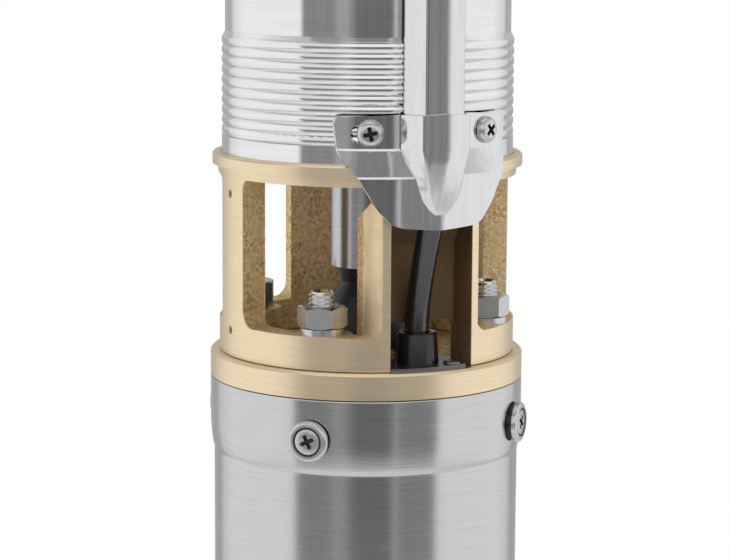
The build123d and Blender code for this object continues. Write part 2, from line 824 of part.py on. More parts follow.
# Sand slinger: a rubber cone on the shaft, with a narrow neck under the coupling.
slinger_bottom = face + pilot_height + free_gap
slinger_top = face + coupling_above_face - free_gap
with BuildPart() as sand_slinger:
    turned([
        (seal_shaft_radius + press_gap, slinger_bottom + slinger_hollow),
        (slinger_foot_radius - slinger_hollow, slinger_bottom + slinger_hollow),
        (slinger_foot_radius - 1, slinger_bottom),
        (slinger_foot_radius, slinger_bottom),
        (slinger_foot_radius, slinger_bottom + slinger_rim_height),
        (slinger_waist_radius, slinger_top - slinger_waist_drop),
        (slinger_neck_radius, slinger_top - slinger_neck_drop),
        (slinger_neck_radius + slinger_lip, slinger_top),
        (seal_shaft_radius + press_gap, slinger_top),
    ])
save(sand_slinger.part, "sand_slinger")

# Cable gland and the plate that holds it down, with one screw.
with BuildPart() as cable_gland:
    with BuildSketch(Plane.XY.offset(face + plate_thickness)):
        with Locations(polar(gland_radius_out, guard_azimuth)[:2]):
            Circle(gland_foot_radius)
    with BuildSketch(Plane.XY.offset(face + gland_height)):
        with Locations(polar(gland_radius_out, guard_azimuth)[:2]):
            Circle(gland_top_radius)
    loft()
    axial_holes([guard_azimuth], gland_radius_out, gland_stem_radius, face - gland_stem_depth,
                face + plate_thickness, mode=Mode.ADD)
    axial_holes([guard_azimuth], gland_radius_out, lead_radius + press_gap, face + 2,
                face + gland_height)
save(cable_gland.part, "cable_gland")

with BuildPart() as gland_plate:
    with BuildSketch(Plane.XY.offset(face)):
        with Locations(Location(polar(plate_inner, guard_azimuth), (0, 0, guard_azimuth - 90))):
            Rectangle(plate_outer_radius, 2 * plate_half_width, align=(Align.MIN, Align.CENTER))
        Circle(plate_outer_radius, mode=Mode.INTERSECT)
        with Locations(polar(gland_radius_out, guard_azimuth)[:2]):
            Circle(gland_stem_radius + seat_gap, mode=Mode.SUBTRACT)
        with Locations(polar(plate_screw_circle, plate_screw_azimuth)[:2]):
            Circle(plate_screw_radius + seat_gap, mode=Mode.SUBTRACT)
    extrude(amount=plate_thickness)
save(gland_plate.part, "gland_plate")

with BuildPart() as gland_screw:
    plate_top = face + plate_thickness
    axial_holes([plate_screw_azimuth], plate_screw_circle, plate_screw_radius,
                face - plate_screw_depth, plate_top, mode=Mode.ADD)
    axial_holes([plate_screw_azimuth], plate_screw_circle, plate_screw_head_radius, plate_top,
                plate_top + plate_screw_head_height, mode=Mode.ADD)
    fillet(gland_screw.edges().filter_by(GeomType.CIRCLE).group_by(Axis.Z)[-1],
           plate_screw_head_height / 2)
save(gland_screw.part, "gland_screw")

# Intake bracket: a cast cage between motor and pump, with a window at each stud and a recess in
# which the lead runs up to the guard.
recess_left = guard_azimuth + degrees(
    asin((recess_shift - recess_outside[-1][1]) / bracket_radius))
recess_right = guard_azimuth + degrees(
    asin((recess_shift + recess_outside[-1][1]) / bracket_radius))
half_pillar = pillar_angle / 2
window_limits = [
    (left_pillar_azimuth + half_pillar, recess_left),
    (recess_right, back_pillar_azimuths[0] - half_pillar),
    (back_pillar_azimuths[0] + half_pillar, back_pillar_azimuths[1] - half_pillar),
    (back_pillar_azimuths[1] + half_pillar, left_pillar_azimuth + 360 - half_pillar),
]


def window_outline(azimuth, half_angle, distance):
    """Outline of a window's cutter on a plane across its middle, with rounded corners."""
    shrink = distance / bracket_radius
    with BuildSketch(outward_plane(azimuth, distance, seat)) as outline:
        Rectangle(2 * distance * tan(radians(half_angle)), window_height,
                  align=(Align.CENTER, Align.MIN))
        fillet(outline.vertices().group_by(Axis.Y)[-1], window_top_corner * shrink)
        fillet(outline.vertices().group_by(Axis.Y)[0], window_bottom_corner * shrink)
    return outline.sketch


recess_front = hypot(bracket_radius, 3)
recess_inner = recess_back - recess_back_wall
recess_plane = half_plane(guard_azimuth).offset(-recess_shift)
flange_bottom = flange_top - flange_thickness
with BuildPart() as recess_block:
    roof_low, roof_high = recess_inside_roof
    bar(recess_plane, [
        (recess_inner, face),
        (recess_inner, face + roof_low[0]),
        (recess_inner + roof_high[1], face + roof_high[0]),
        (recess_inner + roof_high[1], flange_bottom),
        (recess_front, flange_bottom),
        (recess_front, face),
    ], recess_outside[0][1])
    disc(bracket_radius, face, flange_bottom, mode=Mode.INTERSECT)
    with BuildSketch(plan_plane(guard_azimuth, face)) as recess_plan:
        with BuildLine():
            Polyline(
                *[(out, recess_shift - half_width) for out, half_width in recess_outside],
                *[(out, recess_shift + half_width) for out, half_width in recess_outside[::-1]],
                close=True,
            )
        make_face()
    extrude(recess_plan.sketch, amount=bracket_height, mode=Mode.INTERSECT)

# Bosses that carry the studs' nuts, inside the bracket's foot ring.
with BuildPart() as stud_bosses:
    axial_holes(stud_azimuths, stud_circle_radius, stud_boss_radius, face, seat, mode=Mode.ADD)
    disc(bracket_radius - 1, face, seat, mode=Mode.INTERSECT)

with BuildPart() as intake_bracket:
    turned([
        (bracket_cavity_radius, face),
        (bracket_radius, face),
        (bracket_radius, flange_bottom - neck_height),
        (neck_radius, flange_bottom),
        (flange_radius, flange_bottom),
        (flange_radius, flange_top - flange_chamfer),
        (flange_radius - flange_chamfer, flange_top),
        (spigot_radius, flange_top),
        (spigot_radius, spigot_top),
        (bracket_cavity_radius, spigot_top),
    ])
    for first, last in window_limits:
        middle = (first + last) / 2
        half_angle = (last - first) / 2
        far_outline = window_outline(middle, half_angle, bracket_radius + 3)
        near_outline = window_outline(middle, half_angle, bracket_cavity_radius - cutter_reach)
        loft([far_outline, near_outline], ruled=True, mode=Mode.SUBTRACT)
    add(stud_bosses.part)
    add(recess_block.part)
    bar(recess_plane, [
        (recess_back, face),
        (flange_radius + 1, face),
        (flange_radius + 1, face + recess_roof_high),
        (recess_mouth, face + recess_roof_high),
        (recess_back, face + recess_roof_low),
    ], recess_half_width, mode=Mode.SUBTRACT)
    bar(half_plane(guard_azimuth), [
        (recess_mouth, face + recess_roof_high - 1),
        (flange_radius + 1, face + recess_roof_high - 1),
        (flange_radius + 1, flange_top),
        (notch_floor, flange_top),
        (notch_floor, flange_bottom),
    ], notch_half_width, mode=Mode.SUBTRACT)
    with BuildSketch(outward_plane(guard_azimuth, recess_inner - 1, face)) as web_gap:
        with Locations((recess_shift, 0)):
            Rectangle(2 * recess_half_width, recess_gap_height, align=(Align.CENTER, Align.MIN))
        fillet(web_gap.vertices().group_by(Axis.Y)[-1], recess_gap_corner)
    extrude(web_gap.sketch, amount=recess_back_wall + 1, mode=Mode.SUBTRACT)
    axial_holes(stud_azimuths, stud_circle_radius, stud_radius + seat_gap, face, seat)
    for height in strainer_hole_heights:
        radial_holes([left_pillar_azimuth, back_pillar_azimuths[0]], face + height,
                     strainer_hole_radius, bracket_radius - strainer_hole_depth,
                     strainer_hole_depth + 1)
    radial_holes([guard_azimuth - guard_screw_angle, guard_azimuth + guard_screw_angle],
                 motor_height + guard_screw_height, guard_screw_radius + press_gap,
                 bracket_cavity_radius - 2, 2 * cutter_reach)
save(intake_bracket.part, "intake_bracket")

# Shaft coupling: splined on the motor shaft, hexagonal round the pump shaft, with a cross pin.
coupling_bottom = face + coupling_above_face
hex_bottom = coupling_bottom + spline_bore_length
with BuildPart() as shaft_coupling:
    disc(coupling_radius, coupling_bottom, coupling_bottom + coupling_length)
    chamfer(shaft_coupling.edges().filter_by(GeomType.CIRCLE), coupling_chamfer)
    with BuildSketch(Plane.XY.offset(coupling_bottom)) as spline_bore:
        Circle(spline_root_radius + running_gap)
        with PolarLocations(0, spline_count):
            with Locations((spline_root_radius - 1, 0)):
                Rectangle(spline_tip_radius - spline_root_radius + 1 + seat_gap,
                          spline_tooth_width + 2 * running_gap,
                          align=(Align.MIN, Align.CENTER))
    extrude(spline_bore.sketch, amount=spline_bore_length, mode=Mode.SUBTRACT)
    with BuildSketch(Plane.XY.offset(hex_bottom)) as hex_bore:
        RegularPolygon(hex_across_flats / 2 + press_gap, 6, major_radius=False)
    extrude(hex_bore.sketch, amount=coupling_length, mode=Mode.SUBTRACT)
    radial_holes([0], face + pin_above_face, pin_radius + press_gap, -coupling_radius - 1,
                 2 * coupling_radius + 2)
save(shaft_coupling.part, "shaft_coupling")

with BuildPart() as coupling_pin:
    radial_holes([0], face + pin_above_face, pin_radius, pin_inset - coupling_radius,
                 2 * (coupling_radius - pin_inset), mode=Mode.ADD)
save(coupling_pin.part, "coupling_pin")

# Pump casing: thin tube with rolled beads where it grips the bracket's and the head's spigots.
def bead_points(start, direction):
    """Ends and crests of a row of beads, from a start height up or down."""
    points = []
    for index in range(bead_count):
        low = start + direction * index * bead_pitch
        points.append([
            (bead_valley_radius, low),
            (bead_crest_radius, low + direction * bead_pitch / 2),
            (bead_valley_radius, low + direction * bead_pitch),
        ])
    return points


with BuildPart() as pump_casing:
    top_beads = casing_top - plain_band
    lower_fade = bead_bottom + bead_length + bead_fade
    upper_fade = top_beads - bead_length - bead_fade
    grip_radius = spigot_radius + seat_gap
    with BuildSketch(Plane.XZ):
        with BuildLine():
            Polyline(
                (grip_radius, flange_top), (bead_crest_radius, flange_top),
                (bead_crest_radius, bead_bottom), (bead_valley_radius, bead_bottom),
            )
            for start, crest, end in bead_points(bead_bottom, 1):
                ThreePointArc(start, crest, end)
            Polyline(
                (bead_valley_radius, bead_bottom + bead_length), (casing_radius, lower_fade),
                (casing_radius, upper_fade), (bead_valley_radius, top_beads - bead_length),
            )
            for start, crest, end in bead_points(top_beads, -1):
                ThreePointArc(start, crest, end)
            Polyline(
                (bead_valley_radius, top_beads), (bead_crest_radius, top_beads),
                (bead_crest_radius, casing_top), (grip_radius, casing_top),
                (grip_radius, spider_top), (casing_inner_radius, spider_top - 1),
                (casing_inner_radius, spigot_top + 1), (grip_radius, spigot_top),
                (grip_radius, flange_top),
            )
        make_face()
    revolve(axis=Axis.Z)
    guard_screw_azimuths = [guard_azimuth - guard_screw_angle, guard_azimuth + guard_screw_angle]
    for height in [motor_height + guard_screw_height, casing_top - clip_screw_drop]:
        radial_holes(guard_screw_azimuths, height, guard_screw_radius + seat_gap,
                     spigot_radius - 2, cutter_reach)
save(pump_casing.part, "pump_casing")


def vanes(inner, outer, sweep, thickness, count, bottom, top):
    """Curved vanes, evenly spaced round the axis, that turn by the sweep angle on the way out."""
    middle = (inner + outer) / 2
    early_turn = sweep * vane_early_share
    for index in range(count):
        start = 360 * index / count
        sides = []
        for side in [-1, 1]:
            sides.append([
                polar(radius, start + turn + side * degrees(thickness / 2 / radius))[:2]
                for radius, turn in [(inner, 0), (middle, early_turn), (outer, sweep)]
            ])
        with BuildSketch(Plane.XY.offset(bottom)) as outline:
            with BuildLine():
                ThreePointArc(*sides[0])
                Line(sides[0][2], sides[1][2])
                ThreePointArc(*reversed(sides[1]))
                Line(sides[1][0], sides[0][0])
            make_face()
        extrude(outline.sketch, amount=top - bottom)


def hex_prism(across_flats, bottom, top, mode=Mode.ADD):
    """Hexagonal bar or hole about the axis."""
    with BuildSketch(Plane.XY.offset(bottom)) as outline:
        RegularPolygon(across_flats / 2, 6, major_radius=False)
    extrude(outline.sketch, amount=top - bottom, mode=mode)


# Pump shaft: a hexagonal bar with a shoulder under the first impeller and a thread at its top.
sleeve_top = stages_top + sleeve_length
nut_top = sleeve_top + shaft_nut_height
hex_hole = hex_across_flats + 2 * seat_gap
with BuildPart() as pump_shaft:
    hex_prism(hex_across_flats, hex_bottom + root_depth, stages_top - root_depth)
    disc(shaft_shoulder_radius, stages_bottom - shaft_shoulder_height, stages_bottom)
    disc(shaft_thread_radius, stages_top - 1, nut_top + shaft_end_stub)
    radial_holes([0], face + pin_above_face, pin_radius + press_gap, -coupling_radius,
                 2 * coupling_radius)
save(pump_shaft.part, "pump_shaft")

# Stages: each impeller turns in a bowl whose vanes lead the water to the next one's eye.
neck_ring_outer = impeller_neck_radius + free_gap + neck_ring_thickness
with BuildPart() as suction_plate:
    ring(neck_ring_outer + press_gap, bowl_radius, spigot_top, stages_bottom)
save(suction_plate.part, "suction_plate")

for stage in range(stage_count):
    start = stages_bottom + stage * stage_pitch
    shroud_bottom = start + impeller_clearance
    vane_bottom = shroud_bottom + shroud_thickness
    vane_top = vane_bottom + vane_height
    with BuildPart() as impeller:
        ring(eye_radius, impeller_neck_radius, start - impeller_neck_length, vane_bottom)
        ring(eye_radius, impeller_radius, shroud_bottom, vane_bottom)
        vanes(impeller_vane_inner, impeller_radius - 2 * seat_gap, impeller_vane_sweep,
              vane_thickness, vane_count, vane_bottom - root_depth, vane_top + root_depth)
        disc(impeller_radius, vane_top, vane_top + shroud_thickness)
        disc(hub_radius, start, start + stage_pitch)
        hex_prism(hex_hole, start - 1, start + stage_pitch + 1, mode=Mode.SUBTRACT)
    save(impeller.part, f"impeller_{stage + 1}")

    plate_bottom = vane_top + shroud_thickness + diffuser_clearance
    deck_bottom = start + stage_pitch - deck_thickness
    last_stage = stage == stage_count - 1
    eye_hole = spider_eye_radius if last_stage else neck_ring_outer + press_gap
    with BuildPart() as bowl:
        ring(bowl_radius - bowl_wall, bowl_radius, start, start + stage_pitch)
        ring(eye_hole, bowl_radius - bowl_wall / 2, deck_bottom, start + stage_pitch)
        ring(hub_radius + free_gap, diffuser_radius, plate_bottom, plate_bottom + bowl_wall)
        vanes(guide_vane_inner, bowl_radius - bowl_wall / 2, guide_vane_sweep,
              guide_vane_thickness, guide_vane_count, plate_bottom + root_depth,
              deck_bottom + root_depth)
        if last_stage:
            disc(spider_eye_radius, deck_bottom, start + stage_pitch, mode=Mode.SUBTRACT)
    save(bowl.part, f"bowl_{stage + 1}")

with BuildPart() as neck_rings:
    for stage in range(stage_count):
        top = stages_bottom + stage * stage_pitch
        ring(impeller_neck_radius + free_gap, neck_ring_outer, top - deck_thickness, top)
save(neck_rings.part, "neck_rings")

# Upper bearing of the pump shaft: a nut with a plain journal turns in a bush.
bush_radius = hub_radius + running_gap + bush_thickness
with BuildPart() as shaft_nut:
    disc(hub_radius, stages_top, sleeve_top)
    hex_prism(shaft_nut_across_flats, sleeve_top, nut_top)
    disc(shaft_thread_radius + press_gap, stages_top - 1, nut_top + 1, mode=Mode.SUBTRACT)
save(shaft_nut.part, "shaft_nut")

with BuildPart() as bearing_bush:
    ring(hub_radius + running_gap, bush_radius, stages_top, spider_top)
save(bearing_bush.part, "bearing_bush")

with BuildPart() as bearing_spider:
    ring(bowl_radius - spider_rim, bowl_radius, stages_top, spider_top)
    for index in range(spider_rib_count):
        bar(half_plane(360 * index / spider_rib_count), [
            (bush_radius + 1, stages_top),
            (bowl_radius - 1, stages_top),
            (bowl_radius - 1, spider_top),
            (bush_radius + 1, spider_top),
        ], spider_rib_thickness / 2)
    disc(bush_radius + spider_hub_wall, stages_top, spider_top)
    disc(bush_radius + press_gap, stages_top, spider_top, mode=Mode.SUBTRACT)
save(bearing_spider.part, "bearing_spider")

# Discharge head: holds the check valve, carries the outlet thread and two eyes for the rope.
chamber_top = casing_top - chamber_top_drop
eye_azimuths = [guard_azimuth + 90, guard_azimuth + 270]
flat_azimuths = [guard_azimuth, guard_azimuth + 180]
eye_height = neck_top + head_collar_height / 2
with BuildPart() as discharge_head:
    turned([
        (chamber_radius, spider_top),
        (spigot_radius, spider_top),
        (spigot_radius, casing_top),
        (head_rim_radius, casing_top),
        (head_rim_radius, rim_top - 1),
        (head_rim_radius - 1, rim_top),
        (head_neck_radius, rim_top),
        (head_neck_radius, neck_top - head_neck_flare),
        (head_collar_radius, neck_top),
        (head_collar_radius, head_top - 1),
        (head_collar_radius - 1, head_top),
        (thread_minor_radius + 1, head_top),
        (thread_minor_radius, head_top - 1),
        (thread_minor_radius, head_top - thread_length),
        (head_bore_radius, head_top - thread_length),
        (head_bore_radius, chamber_top + 6),
        (valve_seat_bore_radius + 1, chamber_top),
        (chamber_radius, chamber_top),
    ])
    for azimuth in flat_azimuths:
        flat_plane = outward_plane(azimuth, collar_across_flats / 2, neck_top - 2)
        with BuildSketch(flat_plane) as flat:
            Rectangle(long_cutter, head_collar_height + 3, align=(Align.CENTER, Align.MIN))
        extrude(flat.sketch, amount=2 * cutter_reach, mode=Mode.SUBTRACT)
    for azimuth in eye_azimuths:
        with BuildSketch(half_plane(azimuth)) as lug:
            with Locations((rope_eye_out, eye_height)):
                Circle(rope_eye_lug_radius)
            with Locations((rope_eye_out, eye_height)):
                Rectangle(rope_eye_out - head_neck_radius + 4, 2 * rope_eye_lug_radius,
                          align=(Align.MAX, Align.CENTER))
            with Locations((rope_eye_out, eye_height)):
                Circle(rope_eye_radius, mode=Mode.SUBTRACT)
        extrude(lug.sketch, amount=rope_eye_thickness / 2, both=True)
    radial_holes(guard_screw_azimuths, casing_top - clip_screw_drop,
                 guard_screw_radius + press_gap, chamber_radius + head_screw_floor,
                 2 * cutter_reach)
save(discharge_head.part, "discharge_head")

# Check valve in the head's chamber: a seat, a disc on a stem, a spring and a cage.
seat_bottom = spider_top + valve_seat_above_spigot
seat_top = seat_bottom + valve_seat_height
valve_rim = chamber_radius - seat_gap
with BuildPart() as valve_seat:
    turned([
        (valve_seat_bore_radius, seat_bottom),
        (valve_rim - valve_cage_wall, seat_bottom),
        (valve_rim - valve_cage_wall, spider_top),
        (valve_rim, spider_top),
        (valve_rim, seat_top),
        (valve_seat_bore_radius, seat_top),
    ])
save(valve_seat.part, "valve_seat")

disc_top = seat_top + poppet_disc_height
with BuildPart() as valve_poppet:
    disc(poppet_radius, seat_top, disc_top)
    chamfer(valve_poppet.edges().group_by(Axis.Z)[-1], 1)
    disc(stem_radius, seat_top, disc_top + stem_length)
save(valve_poppet.part, "valve_poppet")

cage_bottom = chamber_top - valve_cage_rib_height
with BuildPart() as valve_cage:
    ring(valve_rim - valve_cage_wall, valve_rim, seat_top, chamber_top)
    for index in range(valve_cage_rib_count):
        bar(half_plane(guard_azimuth + 360 * index / valve_cage_rib_count), [
            (valve_cage_hub_radius - 2, cage_bottom),
            (valve_rim - 1, cage_bottom),
            (valve_rim - 1, chamber_top),
            (valve_cage_hub_radius - 2, chamber_top),
        ], valve_cage_rib_width / 2)
    disc(valve_cage_hub_radius, cage_bottom, cage_bottom + valve_cage_hub_height)
    disc(stem_radius + running_gap, cage_bottom - 1, cage_bottom + valve_cage_hub_height + 1,
         mode=Mode.SUBTRACT)
save(valve_cage.part, "valve_cage")

spring_low = disc_top + spring_wire_radius + running_gap
spring_height = cage_bottom - disc_top - 2 * (spring_wire_radius + running_gap)
with BuildPart() as valve_spring:
    with BuildLine() as spring_path:
        Helix(spring_height / spring_turns, spring_height, spring_coil_radius,
              center=(0, 0, spring_low))
    with BuildSketch(Plane(origin=spring_path.line @ 0, z_dir=spring_path.line % 0)):
        Circle(spring_wire_radius)
    sweep(path=spring_path.line, is_frenet=True)
save(valve_spring.part, "valve_spring")

# Cable guard: a channel up the pump's side, held by a foot below and a clip above.
guard_inner = bead_crest_radius + guard_gap
guard_top = casing_top - guard_end_drop


def section_plane(height):
    """Level plane seen from below: X runs sideways at the guard's azimuth, Y runs outward."""
    a = radians(guard_azimuth)
    return Plane(origin=(0, 0, height), x_dir=(cos(a), sin(a), 0), z_dir=(0, 0, -1))


def channel_section(height, base, crown, corner, seat_radius, share, inset=0.0):
    """Outline of a channel's cross section, open toward the axis, shrunk by the inset."""
    half_base = base - inset
    half_top = base * share - inset
    top = crown - inset
    root = guard_inner - 4
    shoulder = (top ** 2 - half_top ** 2) ** 0.5
    with BuildSketch(section_plane(height)) as outline:
        with BuildLine():
            Polyline(
                (half_top, shoulder), (half_base, seat_radius - inset), (half_base, root),
                (-half_base, root), (-half_base, seat_radius - inset), (-half_top, shoulder),
            )
            ThreePointArc((-half_top, shoulder), (0, top), (half_top, shoulder))
        make_face()
        fillet(outline.vertices().group_by(Axis.Y)[-1], min(corner, corner_limit * half_top))
    return outline.sketch


def channel(bottom, top, base, share, crown, wall, corner):
    """Length of channel of constant section, with its hollow."""
    outer = channel_section(bottom, base, crown, corner, guard_inner, share)
    inner = channel_section(bottom, base, crown, corner - wall / 2, guard_inner, share, wall)
    extrude(outer, amount=bottom - top)
    extrude(inner, amount=bottom - top, mode=Mode.SUBTRACT)
    disc(guard_inner, bottom, top, mode=Mode.SUBTRACT)


with BuildPart() as cable_guard:
    channel(motor_height + guard_bottom, guard_top, guard_base_half_width,
            guard_top_half_width / guard_base_half_width, guard_crown, guard_wall, guard_corner)
save(cable_guard.part, "cable_guard")

# Foot of the guard: a thin plate bent over the flange, with a ridge that narrows to its lower end.
foot_bends = [
    (guard_inner, motor_height + foot_top + 2),
    (guard_inner, motor_height + foot_upper_bend),
    (foot_lower_radius, motor_height + foot_lower_bend),
    (foot_lower_radius, motor_height + foot_bottom - 1),
]


def foot_face(height):
    """Radius of the foot plate's outer face at a height above the motor casing."""
    slope = (foot_upper_bend - height) / (foot_upper_bend - foot_lower_bend)
    share = min(max(slope, 0), 1)
    return guard_inner + share * (foot_lower_radius - guard_inner) + foot_thickness


ridge_sections = [(height, base, guard_inner + foot_thickness + rise)
                  for height, base, rise in upper_ridge_sections]
ridge_sections += [(height, base, foot_lower_radius + foot_thickness + rise)
                   for height, base, rise in lower_ridge_sections]


def ridge_loft(inset, mode=Mode.ADD):
    """Ridge of the foot, or its hollow when inset, lofted from section to section."""
    nose = ridge_nose if inset else 0
    last = len(ridge_sections) - 1
    sections = []
    for index, (height, base, crown) in enumerate(ridge_sections):
        level = motor_height + height + (nose if index == last else 0)
        sections.append(channel_section(level, base, crown, ridge_round, foot_face(height),
                                        ridge_top_share, inset))
    loft(sections, ruled=True, mode=mode)


with BuildSketch(outward_plane(guard_azimuth, 0, motor_height)) as foot_shape:
    with BuildLine():
        right_edge = FilletPolyline((0, foot_top), *foot_outline, (0, foot_bottom),
                                    radius=foot_outline_corners)
        mirror(right_edge, about=Plane.YZ)
    make_face()


def bent_line(extra=0.0):
    """Line of the foot plate's profile with rounded bends, moved outward by the extra."""
    points = [(radius + extra, height) for radius, height in foot_bends]
    return FilletPolyline(*points, radius=foot_bend_radius)


with BuildPart() as foot_ridge:
    ridge_loft(0)
    with BuildSketch(Plane.XZ) as foot_inside:
        with BuildLine():
            inner_line = bent_line()
            Polyline(inner_line @ 1, (0, foot_bends[3][1]), (0, foot_bends[0][1]), inner_line @ 0)
        make_face()
    revolve(foot_inside.sketch, axis=Axis.Z, mode=Mode.SUBTRACT)
    extrude(foot_shape.sketch, amount=long_cutter, mode=Mode.INTERSECT)

slot_shift = degrees((guard_slot_length - guard_slot_width) / 2 / guard_inner)
foot_screw_height = motor_height + guard_screw_height
with BuildPart() as guard_foot:
    with BuildSketch(Plane.XZ) as plate_profile:
        with BuildLine():
            inner_line = bent_line()
            outer_line = bent_line(foot_thickness)
            Line(inner_line @ 0, outer_line @ 0)
            Line(inner_line @ 1, outer_line @ 1)
        make_face()
    revolve(plate_profile.sketch, axis=Axis.Z)
    extrude(foot_shape.sketch, amount=long_cutter, mode=Mode.INTERSECT)
    add(foot_ridge.part)
    ridge_loft(foot_thickness, mode=Mode.SUBTRACT)
    radial_holes([guard_azimuth + guard_screw_angle], foot_screw_height,
                 guard_screw_radius + seat_gap, guard_inner - 2, cutter_reach)
    slot_plane = outward_plane(guard_azimuth - guard_screw_angle - slot_shift,
                               guard_inner - 2, foot_screw_height)
    with BuildSketch(slot_plane) as slot:
        SlotOverall(guard_slot_length, guard_slot_width)
    extrude(slot.sketch, amount=cutter_reach, mode=Mode.SUBTRACT)
save(guard_foot.part, "guard_foot")

# Clip that holds the guard's upper end.
clip_height_middle = casing_top - clip_screw_drop
clip_bottom = clip_height_middle - clip_height / 2
clip_base, clip_crown = ridge_sections[0][1:]
with BuildPart() as guard_clip:
    ring(guard_inner, guard_inner + foot_thickness, clip_bottom, clip_bottom + clip_height)
    channel(clip_bottom, clip_bottom + clip_height, clip_base, ridge_top_share, clip_crown,
            foot_thickness, ridge_round)
    with BuildSketch(outward_plane(guard_azimuth, 0, clip_height_middle)) as clip_shape:
        RectangleRounded(2 * foot_outline[0][0], clip_height, foot_outline_corners[0])
    extrude(clip_shape.sketch, amount=long_cutter, mode=Mode.INTERSECT)
    radial_holes(guard_screw_azimuths, clip_height_middle, guard_screw_radius + seat_gap,
                 guard_inner - 2, cutter_reach)
save(guard_clip.part, "guard_clip")

with BuildPart() as guard_screws:
    head_start = guard_inner + foot_thickness
    for height in [foot_screw_height, clip_height_middle]:
        radial_holes(guard_screw_azimuths, height, guard_screw_radius,
                     head_start - guard_screw_length, guard_screw_length, mode=Mode.ADD)
        for azimuth in guard_screw_azimuths:
            rim_depth = guard_screw_head_height / 2
            with BuildSketch(outward_plane(azimuth, head_start, height)) as head_rim:
                Circle(guard_screw_head_radius)
            extrude(head_rim.sketch, amount=rim_depth)
            with BuildSketch(outward_plane(azimuth, head_start + rim_depth, height)) as head_crown:
                Circle(guard_screw_head_radius)
            extrude(head_crown.sketch, amount=rim_depth, taper=guard_screw_crown_taper)
save(guard_screws.part, "guard_screws")

# Lead: out of the gland, up the recess and the guard, and over into a coil round the head's neck.
coil_bottom = rim_top + tie_thickness + 2 * seat_gap
coil_width = 2 * lead_radius * coil_columns
coil_height = 2 * lead_radius * coil_layers
coil_middle = coil_bottom + coil_height / 2
with BuildPart() as lead_coil:
    with BuildSketch(Plane.XZ) as coil_section:
        with Locations((coil_mean_radius, coil_middle)):
            RectangleRounded(coil_width, coil_height, coil_corner_radius)
    revolve(coil_section.sketch, axis=Axis.Z)
save(lead_coil.part, "lead_coil")

with BuildPart() as lead_ties:
    tie_angle = degrees(tie_width / coil_mean_radius)
    for azimuth in tie_azimuths:
        with BuildSketch(half_plane(azimuth - tie_angle / 2)) as tie_section:
            with Locations((coil_mean_radius, coil_middle)):
                RectangleRounded(coil_width + 2 * tie_thickness, coil_height + 2 * tie_thickness,
                                 coil_corner_radius + tie_thickness)
                RectangleRounded(coil_width, coil_height, coil_corner_radius, mode=Mode.SUBTRACT)
        revolve(tie_section.sketch, axis=Axis.Z, revolution_arc=tie_angle)
save(lead_ties.part, "lead_ties")

lead_points = []
for sideways, out, height in lead_rise:
    level_plane = outward_plane(guard_azimuth, out, motor_height + height)
    lead_points.append(level_plane.from_local_coords(Vector(sideways, 0, 0)))
for around, out, height in lead_turn:
    lead_azimuth = guard_azimuth + degrees(around / out)
    lead_points.append(Vector(*polar(out, lead_azimuth, rim_top + height)))

lead_radii = []
for before, corner, after in zip(lead_points, lead_points[1:], lead_points[2:]):
    turn = radians((corner - before).get_angle(after - corner))
    shorter = min((corner - before).length, (after - corner).length)
    lead_radii.append(min(0.45 * shorter / tan(turn / 2), 2000.0))
print("lead radii", [round(radius, 1) for radius in lead_radii])

with BuildPart() as motor_lead:
    with BuildLine() as lead_path:
        FilletPolyline(*lead_points, radius=lead_radii)
    with BuildSketch(Plane(origin=lead_points[0], z_dir=lead_points[1] - lead_points[0])):
        Circle(lead_radius)
    sweep(path=lead_path.wires()[0])
    swept_volume = motor_lead.part.volume
    path_length = lead_path.wires()[0].length
    add(lead_coil.part, mode=Mode.SUBTRACT)
print("lead length", round(path_length, 1), "volume", round(swept_volume),
      "expected", round(pi * lead_radius ** 2 * path_length))
save(motor_lead.part, "motor_lead")

with BuildPart() as lead_cores:
    core_start = outward_plane(core_azimuth, coil_mean_radius + lead_radius, coil_middle)
    core_plane = Plane(origin=core_start.origin, x_dir=(0, 0, 1), z_dir=core_start.x_dir)
    with BuildSketch(core_plane) as core_section:
        with GridLocations(2 * core_radius + seat_gap, 2 * core_radius + seat_gap, 2,
                           core_count // 2):
            Circle(core_radius)
    extrude(core_section.sketch, amount=core_length)
    add(lead_coil.part, mode=Mode.SUBTRACT)
save(lead_cores.part, "lead_cores")
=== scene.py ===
# %% [markdown]
# A borehole pump stands upright on a pale floor: a slim motor in a brushed steel tube, a cast brass
# bracket with windows, and the pump's polished casing above it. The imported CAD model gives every
# rigid piece its place; this script adds the finishes, the threads, the screws' recesses and the
# lead. It works in metres, in the CAD model's frame.

# %% Load the frame
import json
from math import cos, degrees, pi, radians, sin

import bmesh
import bpy
from mathutils import Matrix, Vector


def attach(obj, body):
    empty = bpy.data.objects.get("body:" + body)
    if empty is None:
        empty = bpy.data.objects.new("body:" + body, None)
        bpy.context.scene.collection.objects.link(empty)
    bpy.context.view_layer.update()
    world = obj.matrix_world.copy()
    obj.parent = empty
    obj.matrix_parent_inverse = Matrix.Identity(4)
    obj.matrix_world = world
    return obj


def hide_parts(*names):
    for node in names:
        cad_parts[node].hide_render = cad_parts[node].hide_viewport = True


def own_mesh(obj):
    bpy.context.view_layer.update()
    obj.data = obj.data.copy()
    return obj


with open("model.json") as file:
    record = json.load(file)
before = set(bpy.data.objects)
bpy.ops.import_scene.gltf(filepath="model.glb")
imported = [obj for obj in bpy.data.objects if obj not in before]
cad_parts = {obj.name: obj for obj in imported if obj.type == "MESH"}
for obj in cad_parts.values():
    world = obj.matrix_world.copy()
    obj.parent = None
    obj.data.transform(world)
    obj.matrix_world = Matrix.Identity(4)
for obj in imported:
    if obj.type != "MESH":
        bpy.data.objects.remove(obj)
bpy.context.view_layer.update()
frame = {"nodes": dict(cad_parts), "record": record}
nodes = frame["nodes"]

